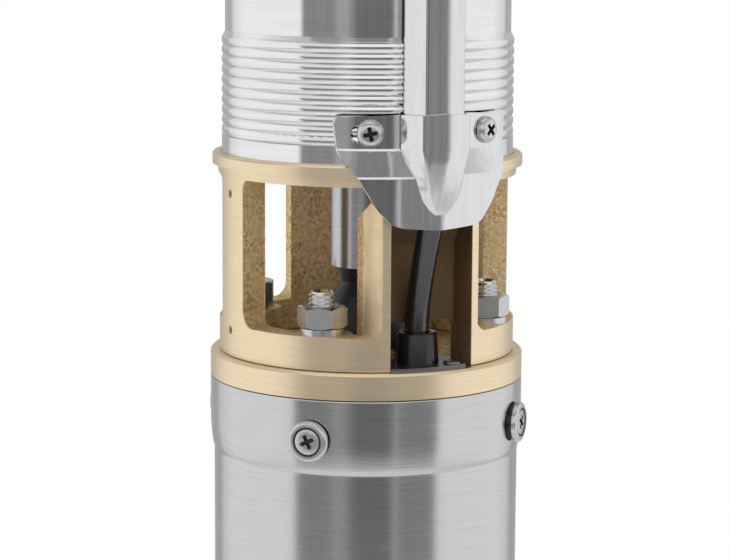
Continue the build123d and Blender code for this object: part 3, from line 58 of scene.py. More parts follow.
# %% [markdown]
# Azimuths count from the front, -Y, towards +X. The lead, its recess and its guard lie at 45
# degrees, between two studs. These few heights and radii repeat the ones the CAD model is built on.

# %% Places that several pieces share
GUARD_AZIMUTH = 45.0
QUARTERS = (0, 90, 180, 270)    # azimuths of the studs and of the casing's screws
MOTOR_TOP = 0.300               # top edge of the motor's steel casing
FACE = 0.308                    # mounting face of the motor
SEAT = 0.318                    # where the stud nuts sit
CASING_TOP = 0.5766             # top edge of the pump's casing
RIM_TOP = 0.5836                # top of the head's rim, under the coil


def place(radius, azimuth, height):
    """Point at a distance from the axis, an azimuth in degrees and a height."""
    a = radians(azimuth)
    return Vector((radius * sin(a), -radius * cos(a), height))


def beside(sideways, out, height, azimuth=GUARD_AZIMUTH):
    """Point given by its distance out at an azimuth and its distance to the right of that line."""
    a = radians(azimuth)
    return Vector((out * sin(a) + sideways * cos(a), -out * cos(a) + sideways * sin(a), height))


# %% [markdown]
# The photograph was taken from slightly above with a long lens, close up: only the middle of the
# pump is in the frame. Its viewpoint is 20 degrees to the right of the front.

# %% Camera
CAMERA_AZIMUTH = 20.0
CAMERA_DIP = 8.74               # how far it looks down
CAMERA_ROLL = 0.33
CAMERA_SIDEWAYS, CAMERA_OUT, CAMERA_HEIGHT = -0.0005, 0.7526, 0.44424
camera_data = bpy.data.cameras.new("camera")
camera_data.sensor_width = 36.0
camera_data.lens = 121.88
camera_data.clip_start = 0.05
camera = bpy.data.objects.new("camera", camera_data)
bpy.context.scene.collection.objects.link(camera)
turn = Matrix.Rotation(radians(CAMERA_AZIMUTH), 4, "Z")
tilt = Matrix.Rotation(radians(90 - CAMERA_DIP), 4, "X")
roll = Matrix.Rotation(radians(CAMERA_ROLL), 4, "Z")
stand = beside(CAMERA_SIDEWAYS, CAMERA_OUT, CAMERA_HEIGHT, CAMERA_AZIMUTH)
camera.matrix_world = Matrix.Translation(stand) @ turn @ tilt @ roll
bpy.context.scene.camera = camera
print("camera at", [round(value, 4) for value in stand])

# %% [markdown]
# The motor's lead is one round rubber cable. It leaves the gland, leans out through the recess,
# runs up inside the guard and over the head's rim, and the rest is wound round the head's neck,
# where two ties hold it. A smooth curve through few control points is the simplest true picture of
# a flexible cable, so the whole length is one NURBS curve with a round bevel.

# %% The lead's control points
LEAD_RADIUS = 0.0036
lead_rise = [  # sideways, distance out, height above the motor casing, in millimetres
    (0.0, 35.0, 10.2), (0.0, 35.0, 18.9), (0.0, 35.9, 26.5), (0.1, 39.9, 41.0), (0.0, 44.9, 53.5),
    (0.0, 48.5, 67.5), (0.1, 48.45, 92.0), (-0.15, 48.45, 136.0), (0.15, 48.4, 184.0),
    (-0.1, 48.35, 222.0),
]
lead_turn = [  # distance round from the guard's line, distance out, height above the rim
    (0.0, 48.45, -29.2), (7.4, 53.0, -6.5), (24.8, 53.5, 10.1), (46.0, 51.1, 19.0),
    (69.1, 48.0, 19.4), (97.0, 44.7, 19.1),
]
lead_points = [beside(side / 1000, out / 1000, MOTOR_TOP + up / 1000)
               for side, out, up in lead_rise]
for around, out, up in lead_turn:
    lead_azimuth = GUARD_AZIMUTH + degrees(around / out)
    lead_points.append(place(out / 1000, lead_azimuth, RIM_TOP + up / 1000))

# %% [markdown]
# The turns lie in two columns and three layers. The cable stays in one place for most of a turn and
# then climbs or sinks to the next place over a short stretch, as a hand-wound coil does.

# %% The coil's turns
COIL_BOTTOM = RIM_TOP + 0.0014
COIL_HEIGHT = 0.0216            # three layers
COLUMNS = {"inner": 0.0377, "outer": 0.0449}
LAYERS = [COIL_BOTTOM + LEAD_RADIUS * (1 + 2 * level) for level in range(3)]
COIL_PLACES = [("outer", 2), ("inner", 2), ("inner", 1), ("inner", 0), ("outer", 0), ("outer", 1)]
CHANGE_STARTS = [380.0, 675.0, 970.0, 1265.0, 1560.0]
CHANGE_ANGLE = 65.0
COIL_RUN_IN = 20.0              # degrees from the last chosen point to the coil's first one
COIL_END = 1740.0
COIL_STEPS = 82
HALF_STEP = 9.5                 # degrees; a control point lies outside the turn that it draws


def coil_spot(angle):
    """Radius and height of the cable at an azimuth counted on through the turns."""
    now = 0
    share = 0.0
    for index, start in enumerate(CHANGE_STARTS):
        if angle >= start:
            now = index
            share = min((angle - start) / CHANGE_ANGLE, 1.0)
    share = share * share * (3 - 2 * share)
    before, after = COIL_PLACES[now], COIL_PLACES[now + 1]
    if angle < CHANGE_STARTS[0]:
        after = before
    radius = COLUMNS[before[0]] * (1 - share) + COLUMNS[after[0]] * share
    height = LAYERS[before[1]] * (1 - share) + LAYERS[after[1]] * share
    return radius, height


last_around, last_out, _ = lead_turn[-1]
coil_start = GUARD_AZIMUTH + degrees(last_around / last_out) + COIL_RUN_IN
for step in range(COIL_STEPS + 1):
    angle = coil_start + (COIL_END - coil_start) * step / COIL_STEPS
    radius, height = coil_spot(angle)
    lead_points.append(place(radius / cos(radians(HALF_STEP)), angle, height))
print("lead points", len(lead_points))

# %% [markdown]
# Blender counts a curve point's own radius into the curve's box. So each point carries the cable's
# true radius, and the bevel that it scales is 1.

# %% The lead as one curve


def cable(name, points, radius, roundness, resolution, finish=None):
    """A round cable through control points, as an open NURBS curve."""
    curve = bpy.data.curves.new(name, "CURVE")
    curve.dimensions = "3D"
    curve.bevel_depth = 1.0
    curve.bevel_resolution = roundness
    curve.resolution_u = resolution
    curve.use_fill_caps = True
    spline = curve.splines.new("NURBS")
    spline.points.add(len(points) - 1)
    for point, spot in zip(spline.points, points):
        point.co = (*spot, 1.0)
        point.radius = radius
    spline.order_u = 3
    spline.use_endpoint_u = True
    if finish:
        curve.materials.append(finish)
    obj = bpy.data.objects.new(name, curve)
    bpy.context.scene.collection.objects.link(obj)
    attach(obj, "housing")
    return obj


lead = cable("motor_lead_cable", lead_points, LEAD_RADIUS, 6, 8)
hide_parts("motor_lead", "lead_coil")

# %% [markdown]
# Shader maths reads better as Python expressions than as long lists of nodes and links, so one
# small class wraps a socket and its operators add Math nodes.

# %% Shader helpers


class Wire:
    """A socket of a node tree whose arithmetic adds Math nodes."""

    def __init__(self, tree, socket):
        self.tree = tree
        self.socket = socket

    def math(self, operation, other=None, flip=False):
        """Adds a Math node of one or two inputs; flip puts this wire second."""
        first, second = (other, self) if flip else (self, other)
        inputs = {"0": first} if other is None else {"0": first, "1": second}
        return add_node(self.tree, "ShaderNodeMath", {"operation": operation}, **inputs)

    def __add__(self, other):
        return self.math("ADD", other)

    def __radd__(self, other):
        return self.math("ADD", other, flip=True)

    def __sub__(self, other):
        return self.math("SUBTRACT", other)

    def __rsub__(self, other):
        return self.math("SUBTRACT", other, flip=True)

    def __mul__(self, other):
        return self.math("MULTIPLY", other)

    def __pow__(self, other):
        return self.math("POWER", other)

    def smooth(self, low, high):
        """0 below low, 1 above high, smooth between them."""
        return add_node(self.tree, "ShaderNodeMapRange", {"interpolation_type": "SMOOTHSTEP"},
                        Value=self, **{"From Min": low, "From Max": high})


def add_node(tree, kind, settings=None, pick=0, **inputs):
    """Adds a node of a kind to a tree; inputs are named by socket name or number."""
    node = tree.nodes.new(kind)
    for name, value in (settings or {}).items():
        setattr(node, name, value)
    for name, value in inputs.items():
        socket = node.inputs[int(name) if name.isdigit() else name]
        if isinstance(value, Wire):
            tree.links.new(value.socket, socket)
        else:
            socket.default_value = value
    return Wire(tree, node.outputs[pick])


GENERATED, OBJECT = 0, 3        # outputs of a Texture Coordinate node


def coordinates(tree, kind):
    """X, Y and Z of a texture coordinate."""
    point = add_node(tree, "ShaderNodeTexCoord", pick=kind)
    axes = tree.nodes.new("ShaderNodeSeparateXYZ")
    tree.links.new(point.socket, axes.inputs[0])
    return [Wire(tree, socket) for socket in axes.outputs]


# %% [markdown]
# Polished metal only looks right when there is something around it to mirror. The world is a soft
# studio: bright walls to both sides of the object and a dim stretch behind the viewer, with fine
# upright streaks in it and a bright strip of lamps above. That is what the photograph's reflections
# show. A fainter dim stretch behind the pump gives its back the same shape. A ray straight from the
# camera sees plain white. Angles count in degrees round from the viewer, heights as the upward part
# of the direction, from -1 to 1.

# %% World
world = bpy.data.worlds.new("studio")
bpy.context.scene.world = world
world.use_nodes = True
sky = world.node_tree
sky.nodes.clear()
east, north, up = coordinates(sky, GENERATED)
front = radians(CAMERA_AZIMUTH)
toward_viewer = east * sin(front) - north * cos(front)
to_the_right = east * cos(front) + north * sin(front)
round_angle = to_the_right.math("ARCTAN2", toward_viewer) * (180 / pi)
off_centre = round_angle.math("ABSOLUTE")


def band(angle, low, high, soft):
    """1 between two angles, with soft edges."""
    return angle.smooth(low - soft, low) * (1 - angle.smooth(high, high + soft))


streaks = add_node(sky, "ShaderNodeTexNoise", {"noise_dimensions": "1D"}, W=round_angle,
                   Scale=0.35, Detail=3.0, Roughness=0.7)
dark_stripe = band(round_angle, -9.0, 18.0, 2.5)
thin_light = band(round_angle, 21.0, 23.0, 1.3)
grey_stripe = band(round_angle, -24.0, -16.0, 3.0)
dim = 0.20 + streaks * 0.16 - dark_stripe * 0.11 + thin_light * 0.26 + grey_stripe * 0.12

side_light = off_centre.smooth(51.5, 56.0)
far = off_centre.smooth(115.0, 140.0)
behind = off_centre.smooth(136.0, 144.0)
ceiling = up.smooth(0.80, 0.95)
side_shade = up.smooth(0.42, 0.66) * (1 - ceiling) + 1 - up.smooth(-0.62, -0.36)
bright_walls = (1.02 - far * 0.22) * (1 - behind) + (streaks * 0.35 + 0.30) * behind
walls = dim * (1 - side_light) + side_light * bright_walls * (1 - side_shade * 0.42)

lamp_box = band(up, 0.16, 0.60, 0.06) * band(round_angle, -17.0, 19.0, 9.0)
strip = band(up, 0.07, 0.57, 0.09) * (1 - lamp_box) * 0.75 + lamp_box + ceiling
over = up.smooth(0.60, 0.72) * (1 - ceiling) * 0.12
floor_light = (1 - up.smooth(-0.75, -0.22)) * 0.85 * (1 - side_light)
lights = (strip + over + floor_light).math("MINIMUM", 1.0)
room = walls + (1.06 - walls) * lights * (1 - side_light * 0.8)

rays = sky.nodes.new("ShaderNodeLightPath")
seen = Wire(sky, rays.outputs["Is Camera Ray"])
background = add_node(sky, "ShaderNodeBackground", Color=(1, 1, 1, 1),
                      Strength=room * (1 - seen) + seen)
world_out = sky.nodes.new("ShaderNodeOutputWorld")
sky.links.new(background.socket, world_out.inputs[0])
print("world nodes", len(sky.nodes))

# %% [markdown]
# Every finish starts as a Principled shader with constants on its own sockets; what varies over the
# surface comes from noise on Object coordinates.

# %% Finish helpers


def new_finish(name, colour, metallic, roughness, **constants):
    """A Principled material; returns the material, its tree and its shader node."""
    material = bpy.data.materials.new(name)
    material.use_nodes = True
    shader = material.node_tree.nodes["Principled BSDF"]
    shader.inputs["Base Color"].default_value = (*colour, 1.0)
    shader.inputs["Metallic"].default_value = metallic
    shader.inputs["Roughness"].default_value = roughness
    for socket, value in constants.items():
        shader.inputs[socket.replace("_", " ")].default_value = value
    return material, material.node_tree, shader


def noise(tree, scale, stretch=(1, 1, 1), detail=3.0, rough=0.5):
    """Noise from 0 to 1 on Object coordinates, stretched by a scale."""
    spot = add_node(tree, "ShaderNodeTexCoord", pick=OBJECT)
    point = add_node(tree, "ShaderNodeMapping", {"vector_type": "POINT"}, Vector=spot,
                     Scale=stretch)
    return add_node(tree, "ShaderNodeTexNoise", Vector=point, Scale=scale, Detail=detail,
                    Roughness=rough)


def mix(tree, factor, first, second):
    """Colour between two colours."""
    return add_node(tree, "ShaderNodeMix", {"data_type": "RGBA"}, 2,
                    **{"0": factor, "6": first, "7": second})


def bump(tree, height, distance):
    """Normal from a height."""
    return add_node(tree, "ShaderNodeBump", Height=height, Distance=distance, Strength=1.0)


def feed(tree, shader, **links):
    """Links wires to the shader's sockets."""
    for name, wire in links.items():
        tree.links.new(wire.socket, shader.inputs[name.replace("_", " ")])


# %% [markdown]
# One large soft lamp from the upper left gives the cast brass some shape. The floor is a pale round
# table whose edge fades out, and it takes the pump's faint shadow.

# %% Lamp and floor
lamp_data = bpy.data.lights.new("soft_lamp", "AREA")
lamp_data.shape = "RECTANGLE"
lamp_data.size = 0.9
lamp_data.size_y = 1.2
lamp_data.energy = 5.0
lamp = bpy.data.objects.new("soft_lamp", lamp_data)
bpy.context.scene.collection.objects.link(lamp)
lamp.location = place(1.3, -35.0, 1.1)
lamp.visible_glossy = False
lamp.rotation_euler = (Vector((0, 0, 0.35)) - lamp.location).to_track_quat("-Z", "Y").to_euler()

FLOOR_RADIUS, FADE_RADIUS = 0.70, 0.30
bpy.ops.object.select_all(action="DESELECT")
bpy.ops.mesh.primitive_circle_add(vertices=96, radius=FLOOR_RADIUS, fill_type="NGON",
                                  location=(0, 0, -0.0002))
floor = bpy.context.object
floor.name = "floor"
paint, tree, shader = new_finish("pale_floor", (0.82, 0.82, 0.82), 0.0, 0.9,
                                 Emission_Color=(1, 1, 1, 1), Emission_Strength=0.25)
x, y, _ = coordinates(tree, OBJECT)
feed(tree, shader, Alpha=1 - ((x * x + y * y) ** 0.5).smooth(FADE_RADIUS, FLOOR_RADIUS))
floor.data.materials.append(paint)
print("floor radius", FLOOR_RADIUS)

# %% [markdown]
# Drawn and turned steel carries fine lines in one direction. Noise squeezed along one axis draws
# them in colour, roughness and relief.

# %% Brushed and polished steels
STEEL_RELIEF = 0.0002           # distance of the bump that the lines' depth is a share of
ROUND_LINES = (0.03, 0.03, 1.0)
LONG_LINES = (1, 1, 0.06)
NO_LINES = (1, 1, 1)


def steel_finish(name, colour, roughness, grain, stretch, depth, spread=0.08, waves=0.0):
    """Steel with fine lines: the stretch sets which way they run."""
    material, tree, shader = new_finish(name, colour, 1.0, roughness)
    lines = noise(tree, grain, stretch, 4.0, 0.65)
    cloud = noise(tree, 60.0, NO_LINES, 2.0)
    wave = noise(tree, 28.0, (1, 1, 0.35), 2.0)
    darker = [0.95 * part for part in colour]
    lighter = [min(1.03 * part, 1.0) for part in colour]
    relief = lines * (depth / STEEL_RELIEF) + wave * (waves / STEEL_RELIEF)
    feed(tree, shader,
         Base_Color=mix(tree, lines.smooth(0.3, 0.7), (*darker, 1), (*lighter, 1)),
         Roughness=lines * spread + cloud * spread * 0.6 + (roughness - spread * 0.8),
         Normal=bump(tree, relief, STEEL_RELIEF))
    return material


motor_steel = steel_finish("brushed_motor_steel", (0.58, 0.58, 0.585), 0.17, 2200.0, ROUND_LINES,
                           0.000018, 0.10, 0.00002)
pump_steel = steel_finish("polished_pump_steel", (0.78, 0.78, 0.79), 0.09, 900.0, ROUND_LINES,
                          0.000003, 0.04, 0.00004)
guard_steel = steel_finish("bright_guard_steel", (0.70, 0.705, 0.72), 0.065, 500.0, LONG_LINES,
                           0.000002, 0.04, 0.00002)
bolt_steel = steel_finish("bright_bolt_steel", (0.60, 0.60, 0.60), 0.28, 1500.0, NO_LINES,
                          0.000012)
stud_steel = steel_finish("bright_stud_steel", (0.66, 0.66, 0.67), 0.17, 1500.0, NO_LINES,
                          0.000008)
plate_steel = steel_finish("dull_plate_steel", (0.20, 0.195, 0.20), 0.36, 900.0, NO_LINES,
                           0.00001)
coupling_steel = steel_finish("turned_coupling_steel", (0.52, 0.53, 0.54), 0.24, 1500.0,
                              (0.1, 0.1, 1.0), 0.000002)
print("materials so far", len(bpy.data.materials))

# %% [markdown]
# The brass pieces are sand cast and then turned on their outsides. The distance from the axis tells
# turned faces from cast ones: everything outside the bracket's radius has seen the lathe. The
# recess for the lead gets painted shade, a dark brown in place of its cast colour, and the wall
# beside the front window was filed smooth but for one ridge. A dark line marks the seam to the
# piece below. The discharge head has a pipe thread in its bore, which a helical bump shows.

# %% Cast and turned brass
THREAD_PITCH = 0.002309
THREAD_RADIUS = 0.019476        # of the outlet's bore
RECESS_BACK = (0.0290, 0.0300)  # where the recess begins, outward along the guard's line
RECESS_SIDE = (0.0136, 0.0140)  # where it ends, sideways from its middle
RECESS_SHIFT = 0.0009           # from the guard's line to the recess's middle
FILED_X = (0.0110, 0.0125)
FILED_Y = (-0.0250, -0.0200)
RIDGE_Y = -0.0408
BRASS_RELIEF = 0.0004


def brass_finish(name, turned_from, seam, thread_radius=None):
    """Brass turned outside a radius, rough from the mould inside it, with painted shade in the
    lead's recess and dark at its seam.
    """
    material, tree, shader = new_finish(name, (0.86, 0.70, 0.46), 1.0, 0.3)
    x, y, z = coordinates(tree, OBJECT)
    radius = (x * x + y * y) ** 0.5
    turned = radius.smooth(turned_from - 0.0004, turned_from - 0.0001)
    grit = noise(tree, 800.0, (1, 1, 1), 6.0, 0.8)
    blotch = noise(tree, 140.0, (1, 1, 1), 4.0, 0.6)
    rings = noise(tree, 1500.0, (0.02, 0.02, 1.0), 4.0, 0.7)
    guard = radians(GUARD_AZIMUTH)
    along = x * sin(guard) - y * cos(guard)
    across = x * cos(guard) + y * sin(guard) - RECESS_SHIFT
    recess = along.smooth(*RECESS_BACK) * (1 - across.math("ABSOLUTE").smooth(*RECESS_SIDE))
    filed = x.smooth(*FILED_X) * (1 - y.smooth(*FILED_Y)) * (1 - recess)
    ridge = 1 - (y - RIDGE_Y).math("ABSOLUTE").smooth(0.0001, 0.0005)
    gap = 1 - (z - seam).math("ABSOLUTE").smooth(0.00016, 0.00032)

    sand = mix(tree, grit.smooth(0.38, 0.62), (0.42, 0.26, 0.11, 1), (0.98, 0.78, 0.46, 1))
    cast = mix(tree, blotch.smooth(0.35, 0.65) * 0.75, sand, (0.80, 0.60, 0.32, 1))
    # Painted shade: the dark brown that stands in the lead's recess in place of its cast colour.
    painted_shade_colour = mix(tree, grit, (0.20, 0.12, 0.06, 1), (0.44, 0.30, 0.16, 1))
    smooth = mix(tree, blotch.smooth(0.3, 0.7), (0.83, 0.65, 0.40, 1), (0.94, 0.78, 0.52, 1))
    bright = mix(tree, rings.smooth(0.3, 0.7), (0.79, 0.64, 0.42, 1), (0.85, 0.71, 0.50, 1))
    cast = mix(tree, filed, mix(tree, recess, cast, painted_shade_colour), smooth)

    rough = grit * 1.3 + blotch * 0.7
    relief = (turned * rings * 0.02 + (1 - turned) * (1 - filed * 0.85) * rough
              + filed * ridge * (1 - turned) * 0.5)
    if thread_radius:
        bore = 1 - radius.smooth(thread_radius + 0.0002, thread_radius + 0.0006)
        wave = ((z * (2 * pi / THREAD_PITCH)) - y.math("ARCTAN2", x)).math("SINE")
        relief = relief + bore * wave * 2.0
    feed(tree, shader,
         Base_Color=mix(tree, gap, mix(tree, turned, cast, bright), (0.10, 0.06, 0.03, 1)),
         Metallic=turned * 0.1 + 0.88,
         Roughness=0.46 - turned * 0.15 + rings * 0.06,
         Normal=bump(tree, relief, BRASS_RELIEF))
    return material


bracket_brass = brass_finish("cast_bracket_brass", 0.0452, FACE)
ring_brass = brass_finish("turned_ring_brass", 0.0300, MOTOR_TOP)
head_brass = brass_finish("turned_head_brass", 0.0280, CASING_TOP, THREAD_RADIUS)
print("materials so far", len(bpy.data.materials))

# %% Rubber, plastic and the inner pieces
gland_rubber, tree, shader = new_finish("glossy_gland_rubber", (0.009, 0.009, 0.010), 0.0, 0.24,
                                        IOR=1.55)
feed(tree, shader, Normal=bump(tree, noise(tree, 700.0), 0.00003))
slinger_rubber, tree, shader = new_finish("dull_slinger_rubber", (0.006, 0.006, 0.007), 0.0, 0.4)
feed(tree, shader, Roughness=noise(tree, 600.0) * 0.1 + 0.35)
sheath_rubber, tree, shader = new_finish("lead_sheath_rubber", (0.010, 0.010, 0.011), 0.0, 0.2,
                                         IOR=1.8)
feed(tree, shader, Normal=bump(tree, noise(tree, 420.0, detail=4.0), 0.00012),
     Roughness=noise(tree, 260.0) * 0.2 + 0.1)
tie_plastic, tree, shader = new_finish("tie_plastic", (0.02, 0.02, 0.02), 0.0, 0.4)
feed(tree, shader, Roughness=noise(tree, 400.0) * 0.2 + 0.3)
moulding, tree, shader = new_finish("stage_moulding", (0.06, 0.07, 0.08), 0.0, 0.45)
feed(tree, shader, Roughness=noise(tree, 300.0) * 0.2 + 0.35)
base_iron, tree, shader = new_finish("base_iron", (0.22, 0.22, 0.23), 0.9, 0.5)
feed(tree, shader, Normal=bump(tree, noise(tree, 900.0, detail=5.0), 0.00015),
     Roughness=noise(tree, 200.0) * 0.25 + 0.4)
winding_copper, tree, shader = new_finish("winding_copper", (0.60, 0.25, 0.12), 0.8, 0.35)
feed(tree, shader, Normal=bump(tree, noise(tree, 2500.0, (1, 1, 0.1)), 0.0002))
seal_ceramic, tree, shader = new_finish("seal_ceramic", (0.75, 0.73, 0.70), 0.0, 0.25)
feed(tree, shader, Roughness=noise(tree, 500.0) * 0.1 + 0.2)
# Painted shade: a dark dull finish for the walls of screw recesses and of the cups' pockets.
recess_painted_shade, tree, shader = new_finish("screw_recess_painted_shade", (0.05, 0.05, 0.05), 0.5, 0.6)
feed(tree, shader, Roughness=noise(tree, 900.0) * 0.2 + 0.5)
bare_copper, tree, shader = new_finish("bare_copper", (0.80, 0.42, 0.26), 1.0, 0.3)
feed(tree, shader, Normal=bump(tree, noise(tree, 3000.0, (1, 1, 0.2)), 0.0001))


def core_finish(name, colour):
    """Smooth plastic insulation of one colour."""
    material, tree, shader = new_finish(name, colour, 0.0, 0.35)
    feed(tree, shader, Roughness=noise(tree, 300.0) * 0.15 + 0.28)
    return material


core_finishes = [
    core_finish("core_brown", (0.16, 0.06, 0.03)), core_finish("core_black", (0.02, 0.02, 0.02)),
    core_finish("core_grey", (0.30, 0.31, 0.32)), core_finish("core_green", (0.10, 0.34, 0.08)),
]
print("materials", len(bpy.data.materials))

# %% Which piece has which finish
finishes = {
    "motor_steel": motor_steel, "pump_steel": pump_steel, "brass": bracket_brass,
    "fastener_steel": bolt_steel, "shaft_steel": bolt_steel, "coupling_steel": coupling_steel,
    "guard_steel": guard_steel, "black_rubber": gland_rubber, "sheath": sheath_rubber,
    "core_insulation": core_finishes[0], "tie_plastic": tie_plastic, "iron": base_iron,
    "laminations": base_iron, "windings": winding_copper, "cage_metal": bolt_steel,
    "bearing_steel": bolt_steel, "ceramic": seal_ceramic, "moulded": moulding,
}
slot_of = {entry["node"]: entry["material_slot"] for entry in frame["record"]["subparts"]}
for name, node in nodes.items():
    node.data.materials.clear()
    node.data.materials.append(finishes[slot_of[name]])
nodes["motor_head"].data.materials[0] = ring_brass
nodes["gland_plate"].data.materials[0] = plate_steel
nodes["sand_slinger"].data.materials[0] = slinger_rubber
nodes["discharge_head"].data.materials[0] = head_brass
lead.data.materials.append(sheath_rubber)
print("slots", len(set(slot_of.values())))

# %% [markdown]
# Small pieces are modelled by hand, in the same steps each time: a primitive, faces or edges chosen
# by their place, an edit, and modifiers that are applied. These helpers keep each step one line.

# %% Modelling helpers


def take(obj):
    """Makes one object the only selected and active one, in object mode."""
    if bpy.context.object and bpy.context.object.mode != "OBJECT":
        bpy.ops.object.mode_set(mode="OBJECT")
    bpy.ops.object.select_all(action="DESELECT")
    obj.select_set(True)
    bpy.context.view_layer.objects.active = obj


def primitive(add, **settings):
    """Adds a primitive by its operator, with its place, turn and size written into its mesh."""
    bpy.ops.object.select_all(action="DESELECT")
    add(**settings)
    obj = bpy.context.object
    bpy.ops.object.transform_apply(location=True, rotation=True, scale=True)
    return obj


def round_bar(radius, low, high, sides=64):
    """Cylinder about the Z axis between two heights."""
    return primitive(bpy.ops.mesh.primitive_cylinder_add, vertices=sides, radius=radius,
                     depth=high - low, location=(0, 0, (low + high) / 2))


def choose(obj, kind, test):
    """Opens edit mode with the faces or edges selected that pass the test."""
    take(obj)
    bpy.ops.object.mode_set(mode="EDIT")
    bpy.ops.mesh.select_mode(type=kind)
    bpy.ops.mesh.select_all(action="DESELECT")
    shape = bmesh.from_edit_mesh(obj.data)
    for item in shape.faces if kind == "FACE" else shape.edges:
        if test(item):
            item.select_set(True)
    bmesh.update_edit_mesh(obj.data)


def close_edit():
    """Goes back to object mode."""
    bpy.ops.object.mode_set(mode="OBJECT")


def level_edge(height, tolerance=1e-5):
    """Test for edges that lie at a height."""
    return lambda edge: all(abs(vertex.co.z - height) < tolerance for vertex in edge.verts)


def facing(side, least=0.9):
    """Test for faces that look up, for 1, or down, for -1."""
    return lambda face: face.normal.z * side > least


def draw_out(rise, share, **settings):
    """Extrudes what is selected by a height and scales its new end."""
    bpy.ops.mesh.extrude_region_move(TRANSFORM_OT_translate={"value": (0, 0, rise)})
    bpy.ops.transform.resize(value=(share, share, 1), **settings)


def bevel_rim(obj, height, offset, segments):
    """Rounds the edges that lie at a height."""
    choose(obj, "EDGE", level_edge(height))
    bpy.ops.mesh.bevel(offset=offset, segments=segments)
    close_edit()


def modify(obj, kind, **settings):
    """Adds a modifier and applies it."""
    take(obj)
    modifier = obj.modifiers.new(kind.title(), kind)
    for name, value in settings.items():
        setattr(modifier, name, value)
    bpy.ops.object.modifier_apply(modifier=modifier.name)


def combine(obj, other, operation):
    """Boolean with another object, which is used up."""
    modify(obj, "BOOLEAN", object=other, operation=operation, solver="EXACT",
           material_mode="TRANSFER")
    bpy.data.objects.remove(other)


def join(obj, other):
    """Joins another object into the first."""
    take(obj)
    other.select_set(True)
    bpy.ops.object.join()
    return obj


def cut_cross(obj, top, size, depth):
    """Cuts a cross recess for a screwdriver into a top face; its walls get a dull dark painted
    shade.
    """
    obj.data.materials.append(bolt_steel)
    for arm_angle in (0, pi / 2):
        arm = primitive(bpy.ops.mesh.primitive_cube_add, size=1, location=(0, 0, top),
                        rotation=(0, 0, arm_angle), scale=(size, size * 0.27, 2 * depth))
        choose(arm, "FACE", facing(-1))
        bpy.ops.transform.resize(value=(0.45, 0.45, 1), center_override=(0, 0, top))
        close_edit()
        # The recess walls take the painted shade.
        arm.data.materials.append(recess_painted_shade)
        combine(obj, arm, "DIFFERENCE")


def shade_faces(obj, test):
    """Gives the faces that pass the test the dull dark painted shade of a recess."""
    for material in (bolt_steel, recess_painted_shade):
        obj.data.materials.append(material)
    choose(obj, "FACE", test)
    obj.active_material_index = 1
    bpy.ops.object.material_slot_assign()
    close_edit()


def finish_piece(obj, name, finish, slot_name, *replaced, angle=32):
    """Names a piece, smooths it, gives it its finish and body and hides the CAD nodes it replaces.
    """
    take(obj)
    bpy.ops.object.shade_smooth_by_angle(angle=radians(angle))
    obj.name = name
    obj.data.name = name
    if not obj.data.materials:
        obj.data.materials.append(finish)
    obj.data.materials[0] = finish
    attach(obj, "housing")
    if replaced:
        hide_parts(*replaced)
    return obj


def set_of(model, name, places, finish, slot_name, *replaced):
    """Copies a model to several places, each copy with its own mesh, and drops the model."""
    pieces = []
    for number, matrix in enumerate(places, 1):
        piece = model.copy()
        piece.data = model.data.copy()
        bpy.context.scene.collection.objects.link(piece)
        piece.data.transform(matrix)
        pieces.append(finish_piece(piece, "%s_%d" % (name, number), finish, slot_name, *replaced))
    bpy.data.objects.remove(model)
    print(name, len(pieces))
    return pieces


def about_z(angle):
    """Matrix of a turn about Z in degrees."""
    return Matrix.Rotation(radians(angle), 4, "Z")


def facing_out(radius, azimuth, height):
    """Matrix that turns +Z to point outward at an azimuth and moves the origin there."""
    lay = Matrix.Rotation(pi / 2, 4, "X")
    return Matrix.Translation(place(radius, azimuth, height)) @ about_z(azimuth) @ lay


# %% [markdown]
# Four M8 studs clamp the bracket. The thread is a pointed section wound round the stud by a Screw
# modifier. The nut is a hexagonal bar cut to a turned blank, which gives the curved chamfer edges.

# %% Studs and nuts
STUD_CIRCLE = 0.0381
STUD_ROOT = 0.0034
STUD_PITCH = 0.00125
STUD_LOW, STUD_TOP = FACE - 0.014, SEAT + 0.0128
NUT_LOW, NUT_HIGH = SEAT + 0.002, SEAT + 0.0085
NUT_FLATS = 0.013
NUT_CORNER = NUT_FLATS / 2 / cos(pi / 6)
NUT_CROWN = 0.00075
NUT_TURNS = (-16.7, -8.1, 27.0, 20.0)   # degrees, at each of the quarters

stud = round_bar(STUD_ROOT, STUD_LOW, STUD_TOP, 48)
bevel_rim(stud, STUD_TOP, 0.0004, 2)
choose(stud, "FACE", facing(1, 0.99))
bpy.ops.mesh.inset(thickness=0.0009)
bpy.ops.transform.translate(value=(0, 0, -0.0009))
close_edit()
thread = primitive(bpy.ops.mesh.primitive_circle_add, vertices=4, radius=0.49 * STUD_PITCH,
                   fill_type="NOTHING", location=(STUD_ROOT, 0, NUT_LOW), rotation=(pi / 2, 0, 0))
modify(thread, "SCREW", screw_offset=STUD_PITCH, steps=40, render_steps=40,
       iterations=int((STUD_TOP - 0.0002 - NUT_LOW) / STUD_PITCH), use_merge_vertices=False)
choose(thread, "EDGE", lambda edge: edge.is_boundary)
bpy.ops.mesh.fill()
bpy.ops.mesh.select_all(action="SELECT")
bpy.ops.mesh.normals_make_consistent(inside=False)
close_edit()
join(stud, thread)

nut = round_bar(NUT_CORNER, NUT_LOW, NUT_HIGH, 6)
blank = round_bar(NUT_CORNER + 0.0001, NUT_LOW + NUT_CROWN, NUT_HIGH - NUT_CROWN, 96)
for side in (1, -1):
    choose(blank, "FACE", facing(side))
    draw_out(side * NUT_CROWN, 0.83)
    close_edit()
combine(nut, blank, "INTERSECT")
bore = round_bar(0.0036, NUT_LOW - 0.001, NUT_HIGH - 0.0005, 48)
choose(bore, "FACE", facing(1))
draw_out(0.0006, 1.24)
close_edit()
combine(nut, bore, "DIFFERENCE")

